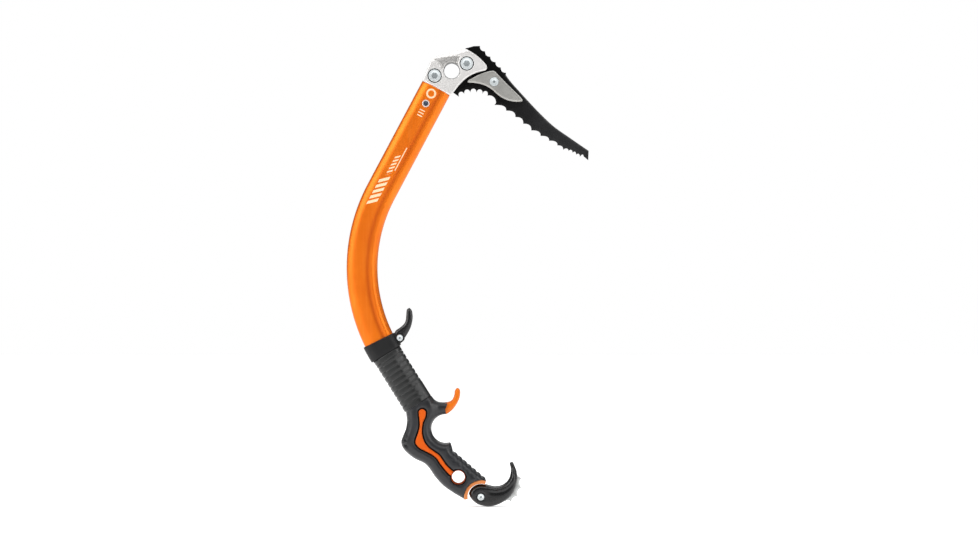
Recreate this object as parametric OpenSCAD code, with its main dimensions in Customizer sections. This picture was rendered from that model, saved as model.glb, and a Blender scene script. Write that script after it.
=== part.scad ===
// Technical ice axe with a bowed tube shaft, a bolted pick and an adjustable hand rest.
//
// Frame: millimetres, +Z up, +X towards the tip of the pick, +Y away from the side that carries the
// bolt heads. The origin is the centre of the eye in the head. Outlines are drawn in the X-Z plane.

/* [Shaft] */
// Depth of the tube, seen from the side
shaft_w = 33.5; // [30:0.5:36]
// Thickness of the tube across its flat sides
shaft_t = 21; // [19:0.5:24]
// Wall of the tube
shaft_wall = 1.8; // [1.2:0.1:2.2]
// Radius of the bow, on the tube's centreline
bow_r = 176; // [160:1:200]
// Lean of the straight run under the head, from vertical
top_tilt = 28; // [24:1:32]
// Lean of the straight run inside the grip, from vertical
grip_tilt = 32; // [28:1:36]
// Straight run between the head and the bow
top_run = 127; // [115:1:135]

/* [Head] */
// Thickness of the head across its cheeks
head_t = 19; // [17:0.5:21]
// Diameter of the eye
eye_d = 16.8; // [15:0.1:17.4]
// Diameter of the pick bolts' heads
bolt_head_d = 14; // [12:0.5:14.5]
// Diameter of the pick bolts' shanks
bolt_d = 7; // [5:0.5:8]

/* [Pick] */
// Thickness of the pick plate
pick_t = 4; // [3:0.1:4.2]
// Thickness of each pick weight
weight_t = 5; // [3:0.5:6]
// Diameter of the weight screw's head
weight_screw_d = 9.6; // [8:0.2:10]

/* [Grip] */
// Length of the ribbed sleeve along the tube
sleeve_l = 64; // [60:1:66]
// Thickness of the handle
handle_t = 27; // [25:0.5:30]
// Diameter of the hole through the end of the handle
hole_d = 14; // [11:0.5:14.5]

/* [Hand rest] */
// Thickness of the hand rest
rest_t = 23; // [20:0.5:25]
// Thickness of the spike plate
spike_t = 3.6; // [3:0.1:4.4]
// Diameter of the small screws at the hand rest and at the finger rest
small_screw_d = 5; // [4:0.5:5.5]

/* [Finger rest] */
// Thickness of the strap round the tube
strap_t = 1.7; // [1.2:0.1:2]
// Height of the strap along the tube
strap_h = 17; // [12:0.5:18]
// Thickness of the finger hook
hook_t = 9; // [7:0.5:10]

/* [Hidden] */
$fn = 96;
fit = 0.05;        // gap between pieces that are fitted and don't move
run = 0.3;         // gap between pieces that slide or turn on each other
curve_n = 6;       // segments in a rounded corner or between two points of a curve

// Where the tube meets the head, on the tube's centreline, and the frame of the bow.
shaft_top = [-17, -18.6];
top_dir = [sin(top_tilt), cos(top_tilt)];
bow_start_a = 180 - top_tilt;
bow_end_a = 180 + grip_tilt;
bow_c = shaft_top - top_run * top_dir - bow_r * polar(bow_start_a);
grip_dir = [sin(grip_tilt), -cos(grip_tilt)];
grip_side = [cos(grip_tilt), sin(grip_tilt)];
grip_top = bow_c + bow_r * polar(bow_end_a);
rivet_c = on_top(20, -1.8);

// The tube is necked down inside the grip.
neck_w = 27;
neck_t = 17.5;
neck_l = 58;
neck_r = 7.5;
tube_r = 9;
spigot_l = 30;
tang_l = 34;

front_bolt = [16.3, 8];
rear_bolt = [-18.5, -5.2];
weight_hole = [46, -11.6];
hole_c = [7.2, -439.7];
rest_c = [31.6, -461.3];
notch_c = [-6.5, -387.4];
notch_r = 15.5;
cheek_y = pick_t / 2;

// The round seat of the hand rest, from the inside out.
ear_r = 9;
seat_r = 13.5;
shim_r = seat_r + 0.9;
shim_w = 3.8;
shim_a0 = 72;
shim_a1 = 189;
ear_t = 3.6;
ear_y = spike_t / 2 + run;
ear_a0 = 112;
ear_a1 = 158;
swing_a0 = -4;   // closes the hand rest, until its shoulder meets the shim
swing_a1 = 12;   // opens it

// ---------- points and curves ----------

function polar(a) = [cos(a), sin(a)];
function unit(v) = v / norm(v);
function on_circle(c, r, a0, a1, n = 24) = [for (i = [0:n]) c + r * polar(a0 + (a1 - a0) * i / n)];
function on_top(s, side) = shaft_top - s * top_dir + side * [cos(top_tilt), -sin(top_tilt)];
function on_grip(s, side) = grip_top + s * grip_dir + side * grip_side;

// A corner b between a and c, rounded to radius r.
function rounded_corner(a, b, c, r) =
    let (
        u = unit(a - b),
        v = unit(c - b),
        half = acos(u * v) / 2,
        centre = b + unit(u + v) * r / sin(half),
        from = b + u * r / tan(half) - centre,
        turn = sign(u.x * v.y - u.y * v.x) * (2 * half - 180)
    )
    [for (i = [0:curve_n]) let (t = turn * i / curve_n)
        centre + [from.x * cos(t) - from.y * sin(t), from.x * sin(t) + from.y * cos(t)]];

// A closed outline of [x, z, corner radius].
function rounded(p) = [
    for (i = [0:len(p) - 1])
        let (
            n = len(p),
            a = p[(i + n - 1) % n],
            b = p[i],
            c = p[(i + 1) % n]
        )
        each b[2] > 0
            ? rounded_corner([a.x, a.y], [b.x, b.y], [c.x, c.y], b[2])
            : [[b.x, b.y]]
];

// An open curve through its points.
function smooth_at(a, b, c, d, t) =
    0.5 * (2 * b + (c - a) * t + (2 * a - 5 * b + 4 * c - d) * t * t + (3 * b - a - 3 * c + d) * t * t * t);
function smooth(p, n = curve_n) = [
    for (i = [0:len(p) - 2], k = [0:n - 1])
        smooth_at(p[max(i - 1, 0)], p[i], p[i + 1], p[min(i + 2, len(p) - 1)], k / n),
    p[len(p) - 1]
];

function bend2(a, b, c, n) = [for (i = [0:n]) let (t = i / n) (1 - t) * (1 - t) * a + 2 * t * (1 - t) * b + t * t * c];
function bend3(a, b, c, d, n) = [for (i = [0:n]) let (t = i / n, s = 1 - t)
    s * s * s * a + 3 * s * s * t * b + 3 * s * t * t * c + t * t * t * d];

// Hollows between the tips of a row of teeth. Each hollow leaves its first tip upright and reaches
// the second level, or the other way round.
function hollow(a, b, depth, upright) =
    let (
        middle = (a + b) / 2,
        corner = upright ? [a.x, b.y] : [b.x, a.y]
    )
    bend2(a, middle + depth * (corner - middle), b, 5);
function hollows(tips, depth, upright) =
    [for (i = [0:len(tips) - 2]) each hollow(tips[i], tips[i + 1], depth, upright)];

// Round notches between tips, on the right of the way from the first tip to the last.
function notch(a, b, h) =
    let (
        d = unit(b - a),
        up = h * [d.y, -d.x]
    )
    bend3(a, a + up, b + up, b, 8);
function notches(tips, h) = [for (i = [0:len(tips) - 2]) each notch(tips[i], tips[i + 1], h)];
// Notches cut along one direction, that leave a pointed tooth at each tip.
function fang(a, b, up) = bend3(a, a + up + (b - a) / 4, b + up - (b - a) / 4, b, 6);
function fangs(tips, up) = [for (i = [0:len(tips) - 2]) each fang(tips[i], tips[i + 1], up)];
function row(a, b, gaps) = [for (i = [0:gaps]) a + (b - a) * i / gaps];

// ---------- outlines ----------

// Pick: the row of six teeth over the head, the back, the beak, the teeth under it and the hollow
// of small teeth under the weights.
top_teeth = row([30.5, 27.3], [58.8, -1.8], 5);
pick_back = smooth([[58.8, -4.4], [65, -12.7], [80, -29.3], [95, -45.2], [110, -59.4], [125, -70.2], [148.4, -86.3]]);
beak_teeth = [[142.9, -92.2], [139, -92.9], [135, -90.7], [131, -88.5], [126.8, -86.5], [120.8, -85.4]];
main_teeth = [
    [120.8, -85.4], [114.6, -80.5], [105.5, -75.4], [96.3, -70.2], [86.2, -64.2], [77.5, -57],
    [69, -49.8], [59, -42.8], [46.4, -36.6]
];
small_teeth = [[38.7, -26.6], [33.2, -24.6], [26.8, -23.1], [20.2, -23.1], [13.8, -24.9], [8, -27.8]];
tang_back = [[-9, -17.5], [-20, -14], [-26, -8], [-25, -1], [-21.5, 5], [-17, 11], [0, 17.4]];
pick_outline = concat(
    [[13, 24.1], [24, 27.1]],
    hollows(top_teeth, 1, true),
    pick_back,
    [[148, -96.6]],
    fangs(beak_teeth, [0.9, 2.9]),
    hollows(main_teeth, 1.15, true),
    bend3([47.9, -34.6], [48.4, -29], [43.6, -25.1], [38.7, -26.6], 10),
    notches(small_teeth, 5.6),
    [[2, -23.6]],
    tang_back
);
// The space for the tang between the head's cheeks: a little more than the tang all round.
slot_outline = [
    [14, 40], [70, 40], [70, -40], [2, -40], [1, -24.6], [-9, -18.2], [-20.3, -14.7], [-26.7, -8.2],
    [-25.7, -0.8], [-22.1, 5.3], [-17.4, 11.6], [0, 18.1], [13, 24.9]
];

head_outline = concat(
    rounded([[on_top(-fit, -16.6).x, on_top(-fit, -16.6).y, 0], [-21.3, 14.3, 3], [12, 24.1, 0]]),
    bend3([13.4, 24.4], [24, 20.5], [33, 12.5], [37.6, 6.2], 10),
    bend2([37.6, 6.2], [39.6, 1], [34.5, 0], 6),
    bend3([34.5, 0], [19, -2.4], [9, -12.5], [1.2, -24.4], 12),
    rounded_corner([1.2, -24.4], on_top(-fit, 18), on_top(-fit, 13), 1.4)
);

weight_outline = concat(
    bend3([18.2, -10], [28, -4], [36, -0.6], [43.8, 0.3], 10),
    bend2([43.8, 0.3], [46.4, 0.5], [48, -1.5], 5),
    bend3([48, -1.5], [57, -11.4], [66, -19.6], [75.6, -29.4], 8),
    bend2([75.6, -29.4], [78.8, -33], [73.5, -33.4], 6),
    bend3([73.5, -33.4], [58.5, -34], [51, -27], [44.6, -21], 10),
    bend3([44.6, -21], [36.5, -14.2], [28, -12.8], [18.2, -12.6], 10),
    bend2([18.2, -12.6], [15.8, -12.2], [18.2, -10], 5)
);

// Handle: back edge, seat of the shim, ridged edge, finger notch, and the root of the hook.
ridge_from = [36.6, -442.6];
ridge_to = [1.4, -412.2];
ridges = 7;
ridge_h = 0.9;
ridged_edge = [for (i = [0:ridges - 1])
    let (
        a = ridge_from + (ridge_to - ridge_from) * i / ridges,
        b = ridge_from + (ridge_to - ridge_from) * (i + 1) / ridges,
        out = unit([a.y - b.y, b.x - a.x]) * -ridge_h
    )
    each [a, a + (b - a) * 0.3 + out, a + (b - a) * 0.7 + out]];
handle_back = smooth([
    on_grip(sleeve_l, -16.9), [-49, -374], [-48.5, -380], [-49.8, -388], [-52.6, -395], [-54.7, -401.5],
    [-53.4, -407.5], [-48.4, -413.6], [-40, -420], [-30, -424.8], [-24.4, -430.2], [-18.4, -439],
    [-10, -448.4], [0, -455.8], [13.4, -463.8]
], 4);
handle_outline = concat(
    handle_back,
    on_circle(rest_c, shim_r + shim_w, 187.8, shim_a0, 16),
    ridged_edge,
    [ridge_to, [0.4, -408], [-1.2, -403.2], [-2.2, -402.4]],
    on_circle(notch_c, notch_r, -74, -226, 20),
    [[-19.2, -366], on_grip(sleeve_l, 16.9)]
);
hook_root = concat(
    [on_grip(sleeve_l + 1, 14)],
    smooth([[-21.5, -352.6], [-19, -355.8], [-15, -358.2], [-10, -359], [-4.6, -358.7]], 4),
    [[-5.2, -362.5], [-7, -366.6], [-5.9, -371.9]],
    on_circle(notch_c, notch_r, 88, 134, 10),
    [[-26, -372]]
);
hook_tip = concat(
    smooth([[-4.6, -358.7], [0, -356.7], [2.6, -351.6], [3.9, -346], [6.3, -343.8], [8.6, -346.2],
        [8.6, -352.6], [6.4, -359], [2.4, -365.2], [-2.2, -369.6], [-5.9, -371.9]], 4),
    [[-7, -366.6], [-5.2, -362.5]]
);
hook_web = [[-4, -361], [-2, -366], [-6.5, -370], [-18, -371], [-24, -372], [-24, -361], [-14, -361.5]];

// The stripe of the core that shows on both sides of the handle, from its round top to the hole.
stripe_outline = concat(
    on_circle([-31.7, -370], 4.3, 180, 0, 12),
    smooth([[-27.4, -370], [-28.2, -375], [-30.6, -380.4], [-31.6, -386], [-31.8, -391], [-31, -396],
        [-28.8, -402], [-24.6, -407.4], [-19, -411.6], [-13.4, -415.6], [-9.4, -421], [-5.6, -426.4],
        [-1, -431], [3.5, -433.8]], 4),
    smooth([[-0.2, -441], [-3.4, -436.6], [-8.4, -430.8], [-12.6, -425.4], [-16.4, -419.8], [-21.4, -415.6],
        [-28, -412.2], [-35, -408.4], [-39.2, -403.6], [-39.2, -399], [-37, -392.6], [-35.2, -386],
        [-35, -380], [-35.6, -375], [-36, -370]], 4)
);
core_inner = concat(
    smooth([on_grip(sleeve_l + 1, -11), [-43.5, -376], [-43.5, -382], [-47, -394], [-49, -401],
        [-46, -408], [-37, -416], [-27, -420], [-20, -427.5], [-13, -437], [-5, -444.5], [3, -450.5]], 3),
    on_circle(rest_c, shim_r + shim_w + 1.6, 172, 84, 12),
    [[26, -440.5], [18, -433], [6, -421.5], [-3, -414], [-6.5, -408.5]],
    on_circle(notch_c, notch_r + 5, -80, -220, 14),
    [on_grip(sleeve_l + 1, 11)]
);

// Hand rest: the round end, the palm edge, the hook and its tip, and the outside edge.
rest_outline = concat(
    on_circle(rest_c, seat_r, 165, 74, 16),
    smooth([[37.8, -447.9], [42, -449.2], [48, -450], [54, -448.9], [59, -445.7], [62.6, -440.6],
        [64, -434], [63.7, -429.2], [62.8, -425.7], [64.2, -423.8], [66.4, -424.2], [68.2, -428],
        [70.2, -433.6], [71, -440], [70.2, -447.4], [67.6, -454.8], [63, -461.4], [56, -466.8],
        [48, -470.4], [40, -471.9], [32, -470.6], [27, -468.6], [22.6, -465], [19.8, -461.4]], 4)
);
spike_tips = [[70.6, -432.4], [75.6, -441], [75.6, -451.6], [71.3, -460.6], [64.4, -468], [58.4, -466.2]];
spike_outline = concat(
    [for (i = [0:len(spike_tips) - 2])
        let (
            a = spike_tips[i],
            b = spike_tips[i + 1],
            out = unit([a.y - b.y, b.x - a.x])
        )
        each bend2(a, (a + b) / 2 - 4.4 * out, b, 6)],
    [[50, -465], [42, -466.4]],
    on_circle(rest_c, ear_r, -60, -300, 24),
    [[46, -456.4], [56, -455.4], [62.6, -448.6], [66.4, -440]]
);

// Finger hook: a hook with a foot that bears on the front of the tube.
hook_foot = smooth([[-46, -256.5], [-43.4, -259.4], [-42.4, -265], [-42.7, -270.6], [-44.6, -278],
    [-48.4, -285.4], [-52.4, -291.4]], 4);
hook_inner = smooth([[-60.6, -281], [-55.4, -277.4], [-51.6, -273.8], [-49.8, -269.6], [-49.2, -263],
    [-48.6, -258.6], [-46, -256.5]], 4);
finger_c = [-56.2, -289];

// ---------- shared modules ----------

// A flat plate of thickness t in the X-Z plane.
module plate(t, y = 0)
    translate([0, y, 0]) rotate([90, 0, 0]) linear_extrude(t, center = true) children();

// A round bar along Y through a point of the X-Z plane, from y0 to y1.
module bar(p, r, y0, y1)
    translate([p.x, y1, p.y]) rotate([90, 0, 0]) cylinder(r = r, h = y1 - y0);

module hex_bar(p, across, y0, y1)
    translate([p.x, y1, p.y]) rotate([90, 0, 0]) cylinder(d = across / cos(30), h = y1 - y0, $fn = 6);

// A rounded rectangle, w by t.
module soft_rect(w, t, r)
    polygon(rounded([[-w / 2, -t / 2, r], [w / 2, -t / 2, r], [w / 2, t / 2, r], [-w / 2, t / 2, r]]));

// A frame at a point of the X-Z plane whose +Z runs down the grip, or down from the head.
module along_grip(s) {
    p = on_grip(s, 0);
    translate([p.x, 0, p.y]) rotate([0, 180 - grip_tilt, 0]) children();
}
module along_top(s) {
    p = on_top(s, 0);
    translate([p.x, 0, p.y]) rotate([0, 180 + top_tilt, 0]) children();
}
// A frame on the bow at polar angle a, whose +Z runs on along the tube in the sense of growing angle.
module at_bow(a)
    translate([bow_c.x, 0, bow_c.y]) rotate([90, 0, 0]) rotate([0, 0, a]) translate([bow_r, 0, 0])
        rotate([-90, 0, 0]) children();
module along_bow(a0, a1)
    translate([bow_c.x, 0, bow_c.y]) rotate([90, 0, 0]) rotate([0, 0, a0])
        rotate_extrude(angle = a1 - a0) translate([bow_r, 0]) children();

// A thick outline whose edges step in towards both faces.
module stepped(half, steps) {
    for (k = steps)
        plate(2 * (half - k[0])) offset(delta = -k[1]) children();
}

// ---------- head and pick ----------

module head() color("silver") difference() {
    union() {
        difference() {
            plate(head_t) polygon(head_outline);
            // Scoops between the bolt seats and the top edge.
            for (s = [-1, 1])
                plate(3, s * head_t / 2) polygon([[-15, 13.6], [5, 16.6], [7.4, 8], [0, -2], [-9.6, -1], [-13.4, 7]]);
        }
        along_top(0) linear_extrude(tang_l)
            soft_rect(shaft_w - 2 * shaft_wall - 2 * fit, shaft_t - 2 * shaft_wall - 2 * fit, tube_r - shaft_wall);
    }
    plate(pick_t + 2 * fit) polygon(slot_outline);
    bar([0, 0], eye_d / 2, -head_t, head_t);
    for (p = [front_bolt, rear_bolt]) {
        bar(p, bolt_d / 2 + fit, -head_t, head_t);
        for (s = [-1, 1])
            bar(p, bolt_head_d / 2 + 0.6, s > 0 ? head_t / 2 - 4 : -head_t, s > 0 ? head_t : 4 - head_t / 2);
    }
    rivet_bore();
}

module rivet_bore() bar(rivet_c, 3 + fit, -shaft_t, shaft_t);

module pick() color("black") difference() {
    plate(pick_t) polygon(pick_outline);
    bar([0, 0], eye_d / 2 + 0.8, -head_t, head_t);
    for (p = [front_bolt, rear_bolt])
        bar(p, bolt_d / 2 + fit, -head_t, head_t);
    bar(weight_hole, 2.5 + fit, -head_t, head_t);
}

// A socket-headed bolt whose head is on the -Y side, and the round nut that closes it.
module pick_bolt(p) color("gainsboro") difference() {
    union() {
        bar(p, bolt_head_d / 2, -head_t / 2 - 0.2, 3.9 - head_t / 2);
        bar(p, bolt_d / 2, 3.8 - head_t / 2, head_t / 2 - 0.4);
    }
    hex_bar(p, 6, -head_t, 2.6 - head_t / 2);
}
module pick_nut(p) color("gainsboro") difference() {
    bar(p, bolt_head_d / 2, head_t / 2 - 3.9, head_t / 2 + 0.2);
    bar(p, bolt_d / 2 + fit, 0, head_t);
    hex_bar(p, bolt_d + 1.5, head_t / 2 - 0.8, head_t);
}

module pick_weight(s) color("darkgray") difference() {
    plate(weight_t, s * (cheek_y + weight_t / 2 + fit)) polygon(weight_outline);
    bar(weight_hole, 2.5 + fit, -head_t, head_t);
    bar(weight_hole, weight_screw_d / 2 + 0.3, s > 0 ? cheek_y + weight_t - 2.6 : -head_t,
        s > 0 ? head_t : 2.6 - cheek_y - weight_t);
}
module weight_screw() color("lightgray") difference() {
    union() {
        bar(weight_hole, weight_screw_d / 2, -cheek_y - weight_t - 0.1, 2.5 - cheek_y - weight_t);
        bar(weight_hole, 2.5, 2.4 - cheek_y - weight_t, cheek_y + weight_t - 0.4);
    }
    hex_bar(weight_hole, 3, -head_t, 1.6 - cheek_y - weight_t);
}
module weight_nut() color("lightgray") difference() {
    bar(weight_hole, weight_screw_d / 2, cheek_y + weight_t - 2.5, cheek_y + weight_t + 0.1);
    bar(weight_hole, 2.5 + fit, 0, head_t);
}

// ---------- shaft ----------

module tube_section() difference() {
    soft_rect(shaft_w, shaft_t, tube_r);
    soft_rect(shaft_w - 2 * shaft_wall, shaft_t - 2 * shaft_wall, tube_r - shaft_wall);
}
module neck_section() difference() {
    soft_rect(neck_w, neck_t, neck_r);
    soft_rect(neck_w - 2 * shaft_wall, neck_t - 2 * shaft_wall, neck_r - shaft_wall);
}
module shaft_tube() color("darkorange") difference() {
    union() {
        at_bow(bow_start_a) mirror([0, 0, 1]) linear_extrude(top_run) tube_section();
        along_bow(bow_start_a, bow_end_a) tube_section();
        // The shoulder that joins the full section to the neck, and the thickening inside it.
        at_bow(bow_end_a) linear_extrude(3) difference() {
            soft_rect(shaft_w, shaft_t, tube_r);
            soft_rect(neck_w - 2 * shaft_wall, neck_t - 2 * shaft_wall, neck_r - shaft_wall);
        }
        at_bow(bow_end_a) translate([0, 0, -1.5]) linear_extrude(3) difference() {
            soft_rect(shaft_w - 1.2, shaft_t - 1.2, tube_r - 0.6);
            soft_rect(neck_w - 2 * shaft_wall, neck_t - 2 * shaft_wall, neck_r - shaft_wall);
        }
        along_grip(1) linear_extrude(neck_l - 1) neck_section();
    }
    rivet_bore();
    handle_pin_bore();
}
module head_rivet() color("slategray") difference() {
    union() {
        bar(rivet_c, 3, -shaft_t / 2 + 0.2, shaft_t / 2 - 0.2);
        for (s = [-1, 1])
            bar(rivet_c, 4.1, s > 0 ? shaft_t / 2 + fit : -shaft_t / 2 - 0.9,
                s > 0 ? shaft_t / 2 + 0.9 : -shaft_t / 2 - fit);
        bar(rivet_c, 2.9, -shaft_t / 2 - 0.5, shaft_t / 2 + 0.5);
    }
    bar(rivet_c, 2, -shaft_t, shaft_t);
}

// ---------- grip and handle ----------

sleeve_w = 33.4;
sleeve_t = 25;
rib_n = 9;
rib_h = 0.7;
module grip_sleeve() color("dimgray") difference() {
    union() {
        along_grip(0.1) linear_extrude(5) soft_rect(sleeve_w + 1.8, sleeve_t + 1.6, 11);
        along_grip(0.1) linear_extrude(sleeve_l - 0.15) soft_rect(sleeve_w - 1.2, sleeve_t - 0.6, 11);
        for (i = [1:rib_n])
            along_grip(3 + i * (sleeve_l - 9) / rib_n)
                linear_extrude(4) soft_rect(sleeve_w - 1.2 + 2 * rib_h, sleeve_t - 0.6 + 2 * rib_h, 11.4);
        along_grip(sleeve_l - 6) linear_extrude(5.95) soft_rect(sleeve_w + 2.2, sleeve_t + 1.6, 11);
    }
    along_grip(-1) linear_extrude(4 + fit) soft_rect(shaft_w + 2 * fit, shaft_t + 2 * fit, tube_r);
    along_grip(0) linear_extrude(sleeve_l + 2) soft_rect(neck_w + 2 * fit, neck_t + 2 * fit, neck_r);
}

pin_s = 44;
module handle_pin_bore() bar(on_grip(pin_s, 0), 2 + fit, -shaft_t, shaft_t);
module handle_pin() color("silver") difference() {
    bar(on_grip(pin_s, 0), 2, -neck_t / 2, neck_t / 2);
    bar(on_grip(pin_s, 0), 1.2, -shaft_t, shaft_t);
}

hook_core_t = 13;
core_t = 15;
module core_solid(grow = 0) {
    plate(core_t) polygon(core_inner);
    // The stripe and the ring round the hole stand through the overmould on both sides.
    plate(handle_t - 1.4 + grow) polygon(stripe_outline);
    bar(hole_c, hole_d / 2 + 1.6, -(handle_t - 1.4 + grow) / 2, (handle_t - 1.4 + grow) / 2);
    plate(8) polygon(hook_web);
    plate(hook_core_t) polygon(hook_tip);
    // The seat that carries the tube's end, and the spigot inside the tube.
    along_grip(neck_l + 0.1) linear_extrude(sleeve_l + 3 - neck_l) soft_rect(neck_w - 0.2, neck_t - 0.2, neck_r);
    along_grip(neck_l - spigot_l) linear_extrude(spigot_l + 1)
        soft_rect(neck_w - 2 * shaft_wall - 2 * fit, neck_t - 2 * shaft_wall - 2 * fit, neck_r - shaft_wall);
}
module ears() difference() {
    plate(2 * (ear_y + ear_t)) {
        translate(rest_c) circle(ear_r - 0.4);
        polygon(concat([rest_c], on_circle(rest_c, shim_r + shim_w + 3, ear_a0, ear_a1, 6)));
    }
    // The fork's gap, round enough for the ring of the spike plate to turn in.
    plate(2 * ear_y) translate(rest_c) circle(shim_r + 1);
    bar(rest_c, small_screw_d / 2 + 0.06, -head_t, head_t);
}
module handle_core() color("orangered") difference() {
    union() {
        core_solid();
        ears();
    }
    bar(hole_c, hole_d / 2, -handle_t, handle_t);
    handle_pin_bore();
}

module handle_overmould() color("dimgray") difference() {
    union() {
        stepped(handle_t / 2, [[6, 0], [3, 0.9], [1.2, 2.2], [0, 4]]) polygon(handle_outline);
        plate(17) polygon(hook_root);
    }
    core_solid(2);
    plate(2 * (ear_y + ear_t)) polygon(concat([rest_c], on_circle(rest_c, shim_r + shim_w + 3, ear_a0, ear_a1, 6)));
    bar(hole_c, hole_d / 2, -handle_t, handle_t);
    bar(rest_c, shim_r + shim_w + fit, -handle_t, handle_t);
}

// ---------- hand rest ----------

module ring_sector(r0, r1, a0, a1) difference() {
    polygon(concat([rest_c], on_circle(rest_c, r1 * 1.2, a0, a1, 16)));
    translate(rest_c) circle(r0);
    difference() {
        translate(rest_c) circle(r1 * 1.5);
        translate(rest_c) circle(r1);
    }
}
module rest_shim() color("orange") difference() {
    plate(handle_t - 3) ring_sector(shim_r, shim_r + shim_w, shim_a0, shim_a1);
    plate(2 * (ear_y + ear_t) + 2 * fit)
        polygon(concat([rest_c], on_circle(rest_c, shim_r + shim_w + 3, ear_a0 - 1, ear_a1 + 1, 6)));
}
module hand_rest() color("dimgray") difference() {
    stepped(rest_t / 2, [[5, 0], [2.4, 0.8], [0.8, 1.8], [0, 3]]) polygon(rest_outline);
    // Room for the handle's ears through the whole swing.
    plate(2 * (ear_y + ear_t + run)) {
        translate(rest_c) circle(ear_r + run);
        polygon(concat([rest_c], on_circle(rest_c, shim_r + 4, ear_a0 + swing_a0 - 2, ear_a1 + swing_a1 + 2, 8)));
    }
    plate(spike_t + 2 * fit) offset(delta = 0.08) polygon(spike_outline);
    bar(rest_c, small_screw_d / 2 + fit, -rest_t, rest_t);
    for (s = [-1, 1])
        bar(rest_c, 4.4, s > 0 ? rest_t / 2 - 2.2 : -rest_t, s > 0 ? rest_t : 2.2 - rest_t / 2);
}
module spike_plate() color("silver") difference() {
    plate(spike_t) polygon(spike_outline);
    bar(rest_c, small_screw_d / 2 + fit, -rest_t, rest_t);
}
// A socket screw along Y with its head on the -Y side, and its nut.
module small_screw(p, half, head_r) difference() {
    union() {
        bar(p, head_r, -half, 2.1 - half);
        bar(p, small_screw_d / 2, 2 - half, half - 0.3);
    }
    hex_bar(p, 2.6, -half - 1, 1.5 - half);
}
module small_nut(p, half, head_r) difference() {
    bar(p, head_r, half - 2.1, half);
    bar(p, small_screw_d / 2 + fit, 0, half + 1);
}
module rest_screw() color("silver") small_screw(rest_c, rest_t / 2 - 0.05, 3.6);
module rest_nut() color("silver") small_nut(rest_c, rest_t / 2 - 0.05, 3.6);

// ---------- finger rest ----------

strap_half = shaft_t / 2 + run + strap_t;
strap_mid_a = bow_end_a - 0.1 - (strap_h / 2) / bow_r * 180 / PI;
strap_span = strap_h / bow_r * 180 / PI;
lug_y0 = hook_t / 2 + fit;
lug_t = 2.6;
module finger_strap() color("black") difference() {
    union() {
        along_bow(strap_mid_a - strap_span / 2, strap_mid_a + strap_span / 2)
            soft_rect(shaft_w + 2 * run + 2 * strap_t, 2 * strap_half, tube_r + run + strap_t);
        for (s = [-1, 1])
            plate(lug_t, s * (lug_y0 + lug_t / 2)) polygon(concat(
                on_circle(bow_c, bow_r - shaft_w / 2 + 3, strap_mid_a + strap_span / 2 - 0.2, strap_mid_a - strap_span / 2 + 0.2, 6),
                on_circle(finger_c, 5.2, 60, -60, 10)
            ));
    }
    along_bow(strap_mid_a - strap_span / 2 - 0.5, strap_mid_a + strap_span / 2 + 0.5) {
        soft_rect(shaft_w + 2 * run, shaft_t + 2 * run, tube_r + run);
        // The gap at the front, between the lugs.
        translate([-shaft_w, -lug_y0]) square([shaft_w, 2 * lug_y0]);
    }
    bar(finger_c, small_screw_d / 2 - 0.5 + fit, -head_t, head_t);
}
module finger_hook() color("black") difference() {
    plate(hook_t) polygon(concat(
        hook_inner,
        hook_foot,
        on_circle(bow_c, bow_r - shaft_w / 2 - run, strap_mid_a + strap_span / 2, strap_mid_a - strap_span / 2, 8)
    ));
    bar(finger_c, small_screw_d / 2 - 0.5 + fit, -head_t, head_t);
}
finger_half = lug_y0 + lug_t + 2.1;
module finger_screw() color("silver") difference() {
    union() {
        bar(finger_c, 3.3, -finger_half, -lug_y0 - lug_t - 0.02);
        bar(finger_c, small_screw_d / 2 - 0.5, -finger_half + 1, finger_half - 0.3);
    }
    hex_bar(finger_c, 2.6, -finger_half - 1, 1.4 - finger_half);
}
module finger_nut() color("silver") difference() {
    hex_bar(finger_c, 6.4, lug_y0 + lug_t + 0.02, finger_half);
    bar(finger_c, small_screw_d / 2 - 0.5 + fit, 0, finger_half + 1);
}

// ---------- nodes ----------

head();
pick();
pick_bolt(front_bolt);  // front_pick_bolt
pick_bolt(rear_bolt);  // rear_pick_bolt
pick_nut(front_bolt);  // front_pick_nut
pick_nut(rear_bolt);  // rear_pick_nut
pick_weight(-1);  // left_pick_weight
pick_weight(1);  // right_pick_weight
weight_screw();
weight_nut();
shaft_tube();
head_rivet();
grip_sleeve();
handle_pin();
handle_core();
handle_overmould();
rest_shim();
hand_rest();
spike_plate();
rest_screw();
rest_nut();
finger_strap();
finger_hook();
finger_screw();
finger_nut();
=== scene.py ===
"""Looks of a technical ice axe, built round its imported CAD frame.

Lengths in this script are millimetres in the part's frame (X to the pick's tip, Z up, Y across the
tool) and are turned into metres where a mesh is made. Most pieces are reliefs: an outline in the X-Z
plane, triangulated, whose two faces are height functions of the place and of the distance to the rim.
"""

import math

import bmesh
import bpy
import numpy as np
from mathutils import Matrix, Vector
from mathutils.geometry import delaunay_2d_cdt


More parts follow.
